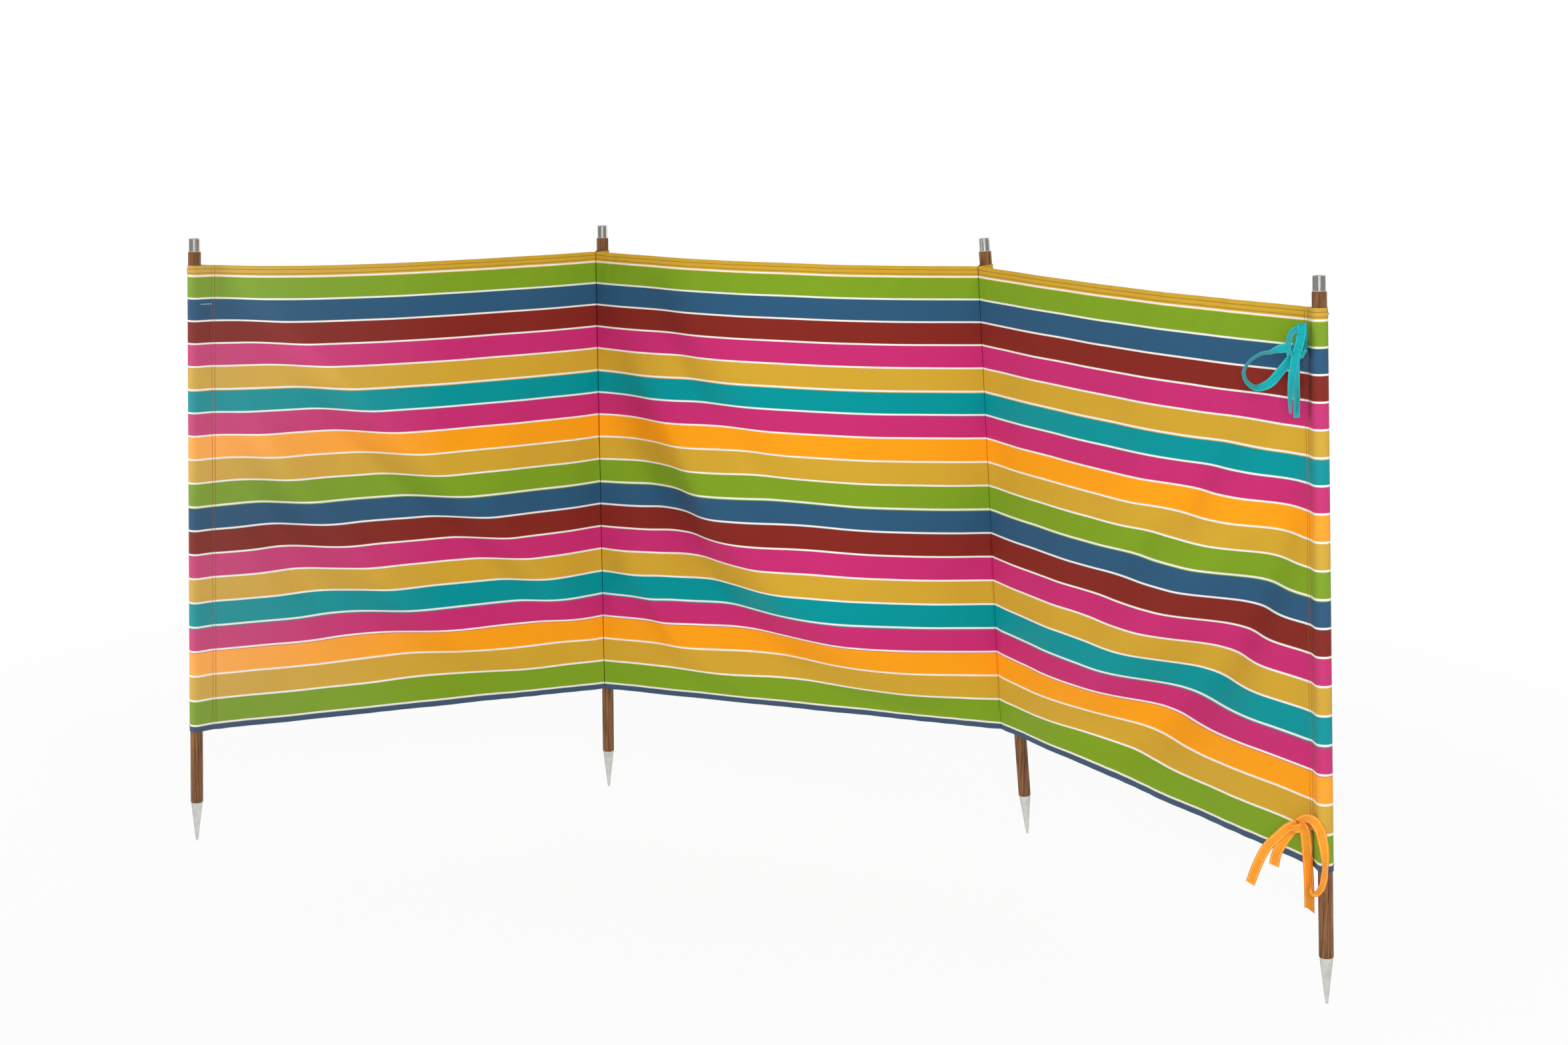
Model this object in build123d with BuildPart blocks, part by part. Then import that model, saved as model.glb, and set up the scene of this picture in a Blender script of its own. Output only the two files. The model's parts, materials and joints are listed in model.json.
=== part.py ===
"""Beach windbreak: one striped canvas in three bays, sewn round four planted poles.

Millimetres, +Z up, +X to the right along the bays, -Y towards the sheltered side.
The origin is the flat tip of the left middle pole's spike.
"""
import os
from math import acos, atan2, cos, exp, hypot, radians, sin, tan

from build123d import *

os.makedirs("parts", exist_ok=True)

# Poles: a turned wooden shaft with a metal cup on top and a hollow metal spike at the foot
pole_length = 1500.0
pole_diameter = 30.0
pole_edge_break = 1.2
fit_gap = 0.3
cap_diameter = 27.0
cap_height = 33.0
cap_wall = 1.2
cap_round = 2.2
spike_length = 99.0
spike_top_diameter = 28.0
spike_tip_diameter = 5.6
spike_wall = 1.5
spike_socket_depth = 64.0

# Where the poles are planted: how far to the side of the left middle pole, and how far forward of it
left_end_distance = 992.0
left_end_advance = 403.0
right_mid_distance = 1079.0
right_mid_advance = 355.0
right_end_distance = 1584.0
right_end_advance = 1343.0
pole_feet = {
    "left_end": (-left_end_distance, -left_end_advance),
    "left_mid": (0, 0),
    "right_mid": (right_mid_distance, -right_mid_advance),
    "right_end": (right_end_distance, -right_end_advance),
}
# Lean of each pole's top, in degrees to the right and away from the sheltered side
pole_lean_angles = {
    "left_end": (1.87, 0.22),
    "left_mid": (0, 0),
    "right_mid": (-4.84, 0.86),
    "right_end": (-2.02, 2.34),
}

# Canvas: its top edge hangs a little below the poles' tops
cloth_setdown = 66.0
cloth_height = 1152.0
cloth_thickness = 1.5
hem_thickness = 2.4
top_hem_height = 26.0
bottom_hem_height = 16.0
panel_end_gap = 0.7

# Sleeves: reach is from the pole's centre to the sewn seam, at the top and at the bottom
end_sleeve_reach = 46.0
left_mid_reach = 44.0
right_mid_reach_top = 44.0
right_mid_reach_bottom = 56.0
seam_allowance = 7.0
pocket_tail = 0.8
sleeve_reaches = {
    "left_end": (end_sleeve_reach, end_sleeve_reach),
    "left_mid": (left_mid_reach, left_mid_reach),
    "right_mid": (right_mid_reach_top, right_mid_reach_bottom),
    "right_end": (end_sleeve_reach, end_sleeve_reach),
}
# Heading of each seam from its pole, in degrees from +X seen from above, top and bottom
seam_heading_angles = {
    "left_end": (20.5, 20.5),
    "left_mid": (-109.5, -96.5),
    "right_mid": (-122, -152),
    "right_end": (122, 122),
}
mid_poles = ("left_mid", "right_mid")
sleeve_level_shares = (0, 0.5, 1)

# Slack of the canvas, in shares of bow_depth towards the sheltered side. A step stands full above
# a front that slants across the bay and is gone below it; a fold is a ridge or a valley along a line.
# Slack and depth are pairs with the share along the bay; fronts and lines give the share of the drop.
bow_depth = 110.0
bow_station_shares = (0.1, 0.2, 0.32, 0.44, 0.56, 0.68, 0.8, 0.9)
bow_level_shares = (0.09, 0.17, 0.25, 0.33, 0.41, 0.49, 0.57, 0.65, 0.73, 0.81, 0.89)
hem_hold_start_share = 0.93
hem_hold_share = 0.8
bays = {
    "left": ("left_end", "left_mid"),
    "middle": ("left_mid", "right_mid"),
    "right": ("right_mid", "right_end"),
}
slack_step_shares = {
    "left": (
        (
            ((0, 0), (0.1, 0.42), (0.22, 0.76), (0.45, 0.91), (0.62, 0.8), (0.8, 0.51), (0.92, 0.25), (1, 0)),
            ((0, 0.02), (0.1, 0.115), (0.5, 0.465), (0.9, 0.825), (1, 0.9)),
            0.17,
        ),
        (
            ((0, 0), (0.1, 0.18), (0.3, 0.22), (0.5, 0.16), (0.65, 0.07), (0.8, 0.04), (1, 0)),
            ((0, 0.36), (0.1, 0.43), (0.3, 0.66), (0.5, 0.815), (0.7, 0.92), (1, 0.98)),
            0.17,
        ),
    ),
    "middle": (
        (
            ((0, 0), (0.1, 0.38), (0.2, 0.62), (0.42, 0.95), (0.56, 0.93), (0.7, 0.88), (0.84, 0.55), (1, 0)),
            ((0, 0.24), (0.1, 0.315), (0.2, 0.456), (0.3, 0.62), (0.5, 0.805), (0.8, 0.935), (1, 0.96)),
            0.22,
        ),
    ),
    "right": (
        (
            ((0, 0), (0.1, 0.14), (0.2, 0.25), (0.46, 0.42), (0.6, 0.44), (0.74, 0.35), (0.88, 0.18), (1, 0)),
            ((0, 0.95), (0.2, 0.897), (0.4, 0.824), (0.5, 0.766), (0.6, 0.684), (0.8, 0.475), (1, 0.2)),
            0.15,
        ),
    ),
}
fold_shares = {
    "left": (
        (
            ((0, 0.45), (0.1, 0.53), (0.3, 0.765), (0.5, 0.885), (1, 1)),
            ((0, 0), (0.1, -0.16), (0.3, -0.25), (0.5, -0.24), (0.65, -0.11), (0.8, 0), (1, 0)),
            0.085,
        ),
        (
            ((0, 0.25), (0.1, 0.345), (0.3, 0.565), (0.5, 0.765), (0.7, 0.87), (1, 0.97)),
            ((0, 0), (0.1, 0.09), (0.5, 0.11), (0.75, 0.11), (0.9, 0.04), (1, 0)),
            0.06,
        ),
    ),
    "middle": (
        (
            ((0, 0.02), (0.1, 0.09), (0.2, 0.165), (0.3, 0.31), (0.5, 0.5), (0.75, 0.56), (1, 0.6)),
            ((0, 0), (0.1, -0.11), (0.22, -0.24), (0.35, -0.33), (0.5, -0.3), (0.65, -0.16), (0.8, 0), (1, 0)),
            0.1,
        ),
        (
            ((0, 0.4), (0.1, 0.48), (0.2, 0.634), (0.3, 0.76), (0.4, 0.865), (1, 0.95)),
            ((0, 0), (0.08, -0.12), (0.3, -0.13), (0.45, -0.07), (0.6, 0), (1, 0)),
            0.07,
        ),
        (
            ((0, 0.66), (0.1, 0.73), (0.2, 0.854), (0.3, 0.923), (1, 0.98)),
            ((0, 0), (0.08, 0.15), (0.32, 0.2), (0.45, 0.05), (0.6, 0), (1, 0)),
            0.06,
        ),
    ),
    "right": (
        (
            ((0, 0.85), (0.2, 0.74), (0.4, 0.608), (0.6, 0.431), (0.82, 0.24), (1, 0.1)),
            ((0, 0), (0.25, 0), (0.4, -0.09), (0.6, -0.18), (0.75, -0.2), (0.88, -0.09), (1, 0)),
            0.075,
        ),
        (
            ((0, 1), (0.1, 0.99), (0.4, 0.913), (0.6, 0.785), (0.8, 0.6), (0.9, 0.46), (1, 0.34)),
            ((0, 0), (0.2, -0.03), (0.3, -0.13), (0.45, -0.34), (0.65, -0.4), (0.9, -0.24), (1, 0)),
            0.105,
        ),
    ),
}

# Ties: two sewn tapes on the right end sleeve's seam, each knotted in a bow
tape_width = 20.0
tape_thickness = 1.6
upper_tie_drop = 75.0
lower_tie_rise = 93.0
tie_inset = 26.0
upper_tie_swing = 15.0  # degrees that a bow's left side turns out from the canvas
lower_tie_swing = 12.0
knot_diameter = 24.0
knot_depth = 30.0
knot_round = 5.0
tail_lift = 8.0
tail_layer_step = 3.0
loop_lift = 17.0
loop_depth = 12.0
upper_loop_width = 36.0
upper_loop_length = 110.0
upper_small_loop_width = 22.0
upper_small_loop_length = 40.0
upper_tail_length = 105.0
lower_loop_width = 34.0
lower_loop_length = 105.0
lower_tail_length = 130.0
lower_short_tail_length = 95.0

pole_radius = pole_diameter / 2
cap_radius = cap_diameter / 2
cap_seat = pole_length - cap_height
spigot_radius = cap_radius - cap_wall - fit_gap
spike_top_radius = spike_top_diameter / 2
spike_tip_radius = spike_tip_diameter / 2
socket_floor = spike_length - spike_socket_depth
cloth_top = pole_length - cloth_setdown


def pole_axis(pole):
    """Direction from a pole's tip to its top."""
    lean_right, lean_away = pole_lean_angles[pole]
    return Vector(tan(radians(lean_right)), tan(radians(lean_away)), 1).normalized()


def pole_point(pole, height):
    """Point on a pole's centre line at a height measured along the pole."""
    foot_x, foot_y = pole_feet[pole]
    return Vector(foot_x, foot_y, 0) + pole_axis(pole) * height


def turning_plane(pole):
    """Plane for a turned profile: x is the radius and y the height along the pole."""
    axis = pole_axis(pole)
    across = Vector(0, 1, 0).cross(axis).normalized()
    return Plane(origin=pole_point(pole, 0), x_dir=across, z_dir=across.cross(axis))


def turning_axis(pole):
    """Axis that a pole's profiles are turned about."""
    return Axis(pole_point(pole, 0), pole_axis(pole))


def spike_bore(height):
    """Radius of the spike's socket at a height above the tip."""
    rise = (spike_top_radius - spike_tip_radius) * height / spike_length
    return spike_tip_radius + rise - spike_wall


def between(ends, share):
    """Value part of the way from the first of a pair to the second."""
    first, last = ends
    return first + (last - first) * share


def seam_direction(pole, share):
    """Direction from a pole to its seam, square to the pole, at a share of the canvas drop."""
    heading = radians(between(seam_heading_angles[pole], share))
    level = Vector(cos(heading), sin(heading), 0)
    axis = pole_axis(pole)
    return (level - axis * level.dot(axis)).normalized()


def sleeve_plane(pole, share):
    """Plane across a pole at a share of the canvas drop, with x towards the seam."""
    centre = pole_point(pole, cloth_top - cloth_height * share)
    return Plane(origin=centre, x_dir=seam_direction(pole, share), z_dir=pole_axis(pole))


def seam_point(pole, share):
    """Point of a seam at a share of the canvas drop."""
    plane = sleeve_plane(pole, share)
    return plane.origin + plane.x_dir * between(sleeve_reaches[pole], share)


def teardrop(plane, radius, reach, tail_width):
    """Section round a pole that narrows along two tangents to a flat tail at the seam."""
    half_tail = tail_width / 2
    touch_angle = atan2(half_tail, reach) + acos(radius / hypot(reach, half_tail))
    touch_x, touch_y = radius * cos(touch_angle), radius * sin(touch_angle)
    with BuildSketch(plane) as section:
        with BuildLine():
            Line((reach, half_tail), (touch_x, touch_y))
            ThreePointArc((touch_x, touch_y), (-radius, 0), (touch_x, -touch_y))
            Line((touch_x, -touch_y), (reach, -half_tail))
            Line((reach, -half_tail), (reach, half_tail))
        make_face()
    return section.sketch


def bay_plane(bay, share):
    """Plane across a bay at a share of the drop: x runs along the bay, y away from shelter."""
    left_pole, right_pole = bays[bay]
    start, end = seam_point(left_pole, share), seam_point(right_pole, share)
    along = (end - start).normalized()
    away = Vector(0, 0, 1).cross(along).normalized()
    return Plane(origin=start, x_dir=along, z_dir=along.cross(away))


def bay_span(bay, share):
    """Length of a bay from seam to seam at a share of the drop."""
    left_pole, right_pole = bays[bay]
    return (seam_point(right_pole, share) - seam_point(left_pole, share)).length


def reading(pairs, share):
    """Value at a share on straight lines through pairs of share and value."""
    for (first, value), (last, next_value) in zip(pairs, pairs[1:]):
        if share <= last:
            return between((value, next_value), (share - first) / (last - first))
    return pairs[-1][1]


def soft_step(share):
    """Soft change from zero to one."""
    held = min(max(share, 0), 1)
    return held * held * (3 - 2 * held)


def bow_at(bay, along, down):
    """Bow of a bay at a share along it and a share of the drop."""
    bow_share = 0
    for slack, front, softness in slack_step_shares[bay]:
        below_front = (down - reading(front, along)) / softness
        bow_share += reading(slack, along) * (1 - soft_step(below_front + 1 / 2))
    for line, depth, width in fold_shares[bay]:
        beside_line = (down - reading(line, along)) / width
        bow_share += reading(depth, along) * exp(-beside_line * beside_line)
    near_hem = soft_step((down - hem_hold_start_share) / (1 - hem_hold_start_share))
    return bow_depth * bow_share * (1 - hem_hold_share * near_hem)


def cloth_section(bay, share, thickness):
    """Section of the canvas across a bay, a thin strip on a curve through its bows."""
    span = bay_span(bay, share)
    points = [(panel_end_gap, 0)]
    for station_share in bow_station_shares:
        points.append((span * station_share, -bow_at(bay, station_share, share)))
    points.append((span - panel_end_gap, 0))
    half = thickness / 2
    with BuildSketch(bay_plane(bay, share)) as section:
        with BuildLine():
            front = Spline(*[(x, y - half) for x, y in points])
            back = Spline(*[(x, y + half) for x, y in points])
            Line(front @ 0, back @ 0)
            Line(front @ 1, back @ 1)
        make_face()
    return section.sketch


def finish_piece(piece, name):
    """Label a finished piece and write it as its own file."""
    piece.part.label = name
    export_step(piece.part, f"parts/{name}.step")


# Poles
for pole in pole_feet:
    with BuildPart() as shaft:
        with BuildSketch(turning_plane(pole)):
            with BuildLine():
                Polyline(
                    (0, socket_floor + fit_gap),
                    (spike_bore(socket_floor) - fit_gap, socket_floor + fit_gap),
                    (spike_bore(spike_length) - fit_gap, spike_length),
                    (pole_radius - pole_edge_break, spike_length),
                    (pole_radius, spike_length + pole_edge_break),
                    (pole_radius, cap_seat - pole_edge_break),
                    (pole_radius - pole_edge_break, cap_seat),
                    (spigot_radius, cap_seat),
                    (spigot_radius, pole_length - cap_wall - fit_gap),
                    (0, pole_length - cap_wall - fit_gap),
                    close=True,
                )
            make_face()
        revolve(axis=turning_axis(pole))
    finish_piece(shaft, f"{pole}_shaft")

    with BuildPart() as cap:
        with BuildSketch(turning_plane(pole)):
            with BuildLine():
                Polyline(
                    (cap_radius, pole_length - cap_round),
                    (cap_radius, cap_seat),
                    (cap_radius - cap_wall, cap_seat),
                    (cap_radius - cap_wall, pole_length - cap_wall),
                    (0, pole_length - cap_wall),
                    (0, pole_length),
                    (cap_radius - cap_round, pole_length),
                )
                CenterArc((cap_radius - cap_round, pole_length - cap_round), cap_round, 0, 90)
            make_face()
        revolve(axis=turning_axis(pole))
    finish_piece(cap, f"{pole}_cap")

    with BuildPart() as spike:
        with BuildSketch(turning_plane(pole)):
            with BuildLine():
                Polyline(
                    (0, 0),
                    (spike_tip_radius, 0),
                    (spike_top_radius, spike_length),
                    (spike_bore(spike_length), spike_length),
                    (spike_bore(socket_floor), socket_floor),
                    (0, socket_floor),
                    close=True,
                )
            make_face()
        revolve(axis=turning_axis(pole))
    finish_piece(spike, f"{pole}_spike")

# Sleeves: a pocket of canvas round each pole, closed by its seam
for pole in pole_feet:
    tail_setback = hem_thickness / 2 + fit_gap if pole in mid_poles else 0
    pocket_radius = pole_radius + fit_gap
    outer_sections, pocket_sections = [], []
    for level_share in sleeve_level_shares:
        plane = sleeve_plane(pole, level_share)
        reach = between(sleeve_reaches[pole], level_share) - tail_setback
        outer_radius = pocket_radius + cloth_thickness
        outer_sections.append(teardrop(plane, outer_radius, reach, cloth_thickness * 2 + pocket_tail))
        pocket_sections.append(teardrop(plane, pocket_radius, reach - seam_allowance, pocket_tail))
    with BuildPart() as sleeve:
        loft(outer_sections, ruled=True)
        loft(pocket_sections, ruled=True, mode=Mode.SUBTRACT)
    finish_piece(sleeve, f"{pole}_sleeve")

# Panels and hems: each bay is a bowed sheet between a top and a bottom hem
top_hem_share = top_hem_height / cloth_height
bottom_hem_share = 1 - bottom_hem_height / cloth_height
panels = {}
for bay in bays:
    panel_shares = (top_hem_share, *bow_level_shares, bottom_hem_share)
    with BuildPart() as panel:
        loft([cloth_section(bay, share, cloth_thickness) for share in panel_shares], ruled=True)
    finish_piece(panel, f"{bay}_panel")
    panels[bay] = panel.part

    with BuildPart() as top_hem:
        loft([cloth_section(bay, share, hem_thickness) for share in (0, top_hem_share)])
    finish_piece(top_hem, f"{bay}_top_hem")

    with BuildPart() as bottom_hem:
        loft([cloth_section(bay, share, hem_thickness) for share in (bottom_hem_share, 1)])
    finish_piece(bottom_hem, f"{bay}_bottom_hem")


def tie_plane(cloth, share, swing):
    """Plane on the front of the canvas beside the right end seam, x along the bay and y up."""
    section = bay_plane("right", share)
    beside_seam = section.origin + section.x_dir * (bay_span("right", share) - tie_inset)
    sight = Axis(beside_seam - section.y_dir * bow_depth, section.y_dir)
    seat, normal = cloth.find_intersection_points(sight)[0]
    outward = Vector(normal.X, normal.Y, 0).normalized()
    upward = Vector(0, 0, 1)
    along = upward.cross(outward) * cos(radians(swing)) - outward * sin(radians(swing))
    lift = fit_gap * 2 + knot_diameter / 2 * sin(radians(swing))
    return Plane(origin=seat + outward * lift, x_dir=along, z_dir=along.cross(upward))


def tape_loop(plane, angle, length, width):
    """Flat loop of tape that leaves the knot at an angle."""
    offset = knot_diameter / 2 + fit_gap + length / 2
    centre = (offset * cos(radians(angle)), offset * sin(radians(angle)))
    inner = tape_thickness * 2
    with BuildSketch(plane.offset(loop_lift)) as outline:
        with Locations(Location(centre, angle)):
            SlotOverall(length, width)
            SlotOverall(length - inner, width - inner, mode=Mode.SUBTRACT)
    return outline.sketch


def tape_tail(plane, angle, length, lift):
    """Flat end of tape that hangs from the knot at an angle."""
    offset = knot_diameter / 2 + fit_gap + length / 2
    centre = (offset * cos(radians(angle)), offset * sin(radians(angle)))
    with BuildSketch(plane.offset(lift)) as outline:
        with Locations(Location(centre, angle)):
            Rectangle(length, tape_width)
    return outline.sketch


# Ties: loops and tails are listed by the angle at which they leave the knot
ties = {
    "upper_tie": (
        upper_tie_drop / cloth_height,
        upper_tie_swing,
        ((212, upper_loop_length, upper_loop_width), (78, upper_small_loop_length, upper_small_loop_width)),
        ((-97, upper_tail_length), (-90, upper_tail_length)),
    ),
    "lower_tie": (
        1 - lower_tie_rise / cloth_height,
        lower_tie_swing,
        ((-75, lower_loop_length, lower_loop_width),),
        ((-125, lower_tail_length), (-92, lower_tail_length), (-112, lower_short_tail_length)),
    ),
}
for tie, (share, swing, loops, tails) in ties.items():
    plane = tie_plane(panels["right"], share, swing)
    with BuildPart() as knot:
        with BuildSketch(plane):
            Circle(knot_diameter / 2)
        extrude(amount=knot_depth)
        fillet(knot.faces().sort_by(Axis(plane.origin, plane.z_dir))[-1].edges(), knot_round)
    finish_piece(knot, f"{tie}_knot")

    with BuildPart() as loop_pieces:
        for angle, length, width in loops:
            extrude(tape_loop(plane, angle, length, width), amount=loop_depth)
    finish_piece(loop_pieces, f"{tie}_loops")

    with BuildPart() as tail_pieces:
        for layer, (angle, length) in enumerate(tails):
            lift = tail_lift + tail_layer_step * layer
            extrude(tape_tail(plane, angle, length, lift), amount=tape_thickness)
    finish_piece(tail_pieces, f"{tie}_tails")
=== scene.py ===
"""Looks of a beach windbreak: one striped canvas in three bays on four capped poles.

Metres, +Z up, +X to the right along the bays, -Y towards the sheltered side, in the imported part's frame.
"""

import colorsys
import json
import logging
import math
from dataclasses import dataclass, field
from enum import Enum
from typing import Iterable, Optional, Sequence

import bpy
import numpy as np
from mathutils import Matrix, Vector


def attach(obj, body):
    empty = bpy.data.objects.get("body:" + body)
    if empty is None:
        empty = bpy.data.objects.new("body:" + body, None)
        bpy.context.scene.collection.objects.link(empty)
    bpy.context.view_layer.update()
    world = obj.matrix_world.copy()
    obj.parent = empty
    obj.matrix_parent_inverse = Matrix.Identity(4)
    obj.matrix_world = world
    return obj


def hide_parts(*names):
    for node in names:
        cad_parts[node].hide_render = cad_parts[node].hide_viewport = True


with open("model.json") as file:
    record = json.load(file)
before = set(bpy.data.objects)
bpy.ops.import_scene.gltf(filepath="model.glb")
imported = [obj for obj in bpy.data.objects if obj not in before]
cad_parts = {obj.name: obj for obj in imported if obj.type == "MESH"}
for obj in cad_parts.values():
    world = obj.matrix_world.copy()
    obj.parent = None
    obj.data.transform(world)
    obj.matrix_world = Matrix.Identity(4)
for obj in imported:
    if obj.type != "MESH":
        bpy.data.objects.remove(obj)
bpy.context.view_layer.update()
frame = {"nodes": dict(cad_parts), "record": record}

LOG = logging.getLogger("windbreak")
BODY = "root"
UP = np.array([0.0, 0.0, 1.0])
MILLIMETRE = 0.001
FULL_TURN = 2 * math.pi

# A form is points with faces. A row is points with the directions out of the cloth there.
# A run is the path of a tape, its directions across and the slant of its end.
Points = Sequence[tuple[float, ...]]
Triple = tuple[float, float, float]
Span = tuple[float, float]
Colour = tuple[float, float, float, float]
Settings = tuple[tuple[str, float], ...]
Socket = bpy.types.NodeSocket
Faces = list[tuple[int, ...]]
Form = tuple[np.ndarray, Faces]
Row = tuple[np.ndarray, np.ndarray]
Run = tuple[np.ndarray, np.ndarray, float]


class PoleName(Enum):
    """The four poles, from left to right."""

    LEFT_END = "left_end"
    LEFT_MID = "left_mid"
    RIGHT_MID = "right_mid"
    RIGHT_END = "right_end"


class BayName(Enum):
    """The three bays of canvas, from left to right."""

    LEFT = "left"
    MIDDLE = "middle"
    RIGHT = "right"


def dyed(red: int, green: int, blue: int) -> Colour:
    """Colour for a shader from an 8-bit sRGB reading.

    Args:
        red: Red, 0 to 255.
        green: Green, 0 to 255.
        blue: Blue, 0 to 255.

    Returns:
        The linear colour with full alpha.
    """
    def linear(value: int) -> float:
        """One channel in linear light."""
        share = value / 255
        return share / 12.92 if share <= 0.04045 else ((share + 0.055) / 1.055) ** 2.4

    return (linear(red), linear(green), linear(blue), 1.0)


class Dye(Enum):
    """Dyed yarns of the canvas and its tapes."""

    MUSTARD = dyed(212, 168, 52)
    GREEN = dyed(127, 163, 36)
    BLUE = dyed(47, 90, 124)
    DARK_RED = dyed(134, 42, 34)
    PINK = dyed(202, 47, 116)
    TEAL = dyed(0, 150, 156)
    ORANGE = dyed(255, 164, 24)
    UNDYED = dyed(247, 243, 234)
    TEAL_TAPE = dyed(0, 172, 178)
    ORANGE_TAPE = dyed(252, 160, 36)
    SLATE = dyed(66, 90, 116)


def smoothstep(value: np.ndarray) -> np.ndarray:
    """Soft step from 0 to 1 over the unit range."""
    held = np.clip(value, 0.0, 1.0)
    return held * held * (3 - 2 * held)


def smooth_line(points: Points, at: np.ndarray) -> np.ndarray:
    """Smooth curve through a few points, level beyond its ends.

    Args:
        points: Pairs of place and value, in order of place.
        at: Places to read.

    Returns:
        The value at each place.
    """
    places, values = np.array(points, float).T
    slopes = np.gradient(values, places)
    span = np.clip(np.searchsorted(places, at) - 1, 0, len(places) - 2)
    width = places[span + 1] - places[span]
    share = np.clip((at - places[span]) / width, 0.0, 1.0)
    rest = 1 - share
    start = values[span] * (1 + 2 * share) * rest**2 + slopes[span] * width * share * rest**2
    end = values[span + 1] * (3 - 2 * share) * share**2 - slopes[span + 1] * width * rest * share**2
    return start + end


def unit(vector: np.ndarray) -> np.ndarray:
    """Vectors of length one along the last axis."""
    return vector / np.linalg.norm(vector, axis=-1, keepdims=True)


def squared(vector: np.ndarray, axis: np.ndarray) -> np.ndarray:
    """Vectors of length one, square to the axis of each and in its plane with it."""
    return unit(vector - axis * np.sum(vector * axis, -1, keepdims=True))


def run_lengths(path: np.ndarray) -> np.ndarray:
    """Metres along a path from its start to each of its points."""
    return np.concatenate([[0], np.cumsum(np.linalg.norm(np.diff(path, axis=0), axis=1))])


class Graph:
    """A node tree with short calls for adding and joining nodes."""

    def __init__(self, tree: bpy.types.NodeTree) -> None:
        """Take over a tree and empty it."""
        self.tree = tree
        tree.nodes.clear()

    def add(self, kind: str, inputs: Optional[dict] = None, **settings: object) -> bpy.types.Node:
        """Add a node.

        Args:
            kind: Blender's type name, without the ShaderNode prefix.
            inputs: Input sockets by name or index, each a value or an output socket.
            **settings: Properties of the node.

        Returns:
            The node.
        """
        node = self.tree.nodes.new(kind if kind.startswith("NodeGroup") else "ShaderNode" + kind)
        for name, value in settings.items():
            setattr(node, name, value)
        for name, value in (inputs or {}).items():
            self.feed(node.inputs[name], value)
        return node

    def feed(self, socket: Socket, value: object) -> None:
        """Set an input to a value, or link an output to it.

        Args:
            socket: The input.
            value: A value, or the output of another node.
        """
        if isinstance(value, bpy.types.NodeSocket):
            self.tree.links.new(value, socket)
        else:
            socket.default_value = value

    def maths(self, operation: str, first: object, second: object = 0.0) -> Socket:
        """Result of a Math node on two values or sockets."""
        return self.add("Math", {0: first, 1: second}, operation=operation).outputs[0]

    def gathered(self, operation: str, values: Sequence[Socket]) -> Socket:
        """One value from several, taken two at a time.

        Args:
            operation: Operation of the Math nodes.
            values: The values, in order.

        Returns:
            The last result.
        """
        result = values[0]
        for value in values[1:]:
            result = self.maths(operation, result, value)
        return result

    def away(self, first: object, second: object) -> Socket:
        """Distance between two values."""
        return self.maths("ABSOLUTE", self.maths("SUBTRACT", first, second))

    def span(self, value: object, low: float, high: float, to_low: float, to_high: float) -> Socket:
        """Value carried from one range to another, held at the ends."""
        limits = {1: low, 2: high, 3: to_low, 4: to_high}
        return self.add("MapRange", {0: value, **limits}).outputs[0]

    def blend(self, share: object, first: object, second: object) -> Socket:
        """Colour part of the way from a first to a second colour."""
        return self.add("Mix", {0: share, 6: first, 7: second}, data_type="RGBA").outputs[2]

    def toned(self, colour: object, tone: Socket, saturation: object = 1.0) -> Socket:
        """Colour made lighter or darker by a tone, with a share of its saturation."""
        values = {"Color": colour, "Saturation": saturation, "Value": tone}
        return self.add("HueSaturation", values).outputs[0]

    def split(self, vector: Socket) -> bpy.types.NodeOutputs:
        """The parts X, Y and Z of coordinates."""
        return self.add("SeparateXYZ", {0: vector}).outputs

    def stretched(self, place: Socket, scale: Triple, turn: Triple = (0.0, 0.0, 0.0)) -> Socket:
        """Coordinates that are turned, in radians, and scaled on each axis."""
        return self.add("Mapping", {"Vector": place, "Rotation": turn, "Scale": scale}).outputs[0]

    def noise(self, place: Socket, scale: object, detail: float, output: str = "Fac") -> Socket:
        """Noise on coordinates, as a value or as a colour."""
        return self.add("TexNoise", {"Vector": place, "Scale": scale, "Detail": detail}).outputs[output]


class Effect:
    """A shader node group that several finishes share."""

    def __init__(self, name: str, inputs: dict[str, object], outputs: tuple[str, ...]) -> None:
        """Make an empty group.

        Args:
            name: Name of the group.
            inputs: Name of each input with its default; None makes a vector.
            outputs: Name of each output, a value.
        """
        tree = bpy.data.node_groups.new(name, "ShaderNodeTree")
        for label, default in inputs.items():
            kind = "NodeSocketVector" if default is None else "NodeSocketFloat"
            socket = tree.interface.new_socket(label, in_out="INPUT", socket_type=kind)
            if default is not None:
                socket.default_value = default
        for label in outputs:
            tree.interface.new_socket(label, in_out="OUTPUT", socket_type="NodeSocketFloat")
        self.tree = tree
        self.graph = Graph(tree)
        self.ins = self.graph.add("NodeGroupInput").outputs
        self.outs = self.graph.add("NodeGroupOutput").inputs

    def place(self, graph: Graph, inputs: dict[str, object]) -> bpy.types.NodeOutputs:
        """Outputs of the group in a material, with the given values on its inputs."""
        return graph.add("Group", inputs, node_tree=self.tree).outputs


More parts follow.
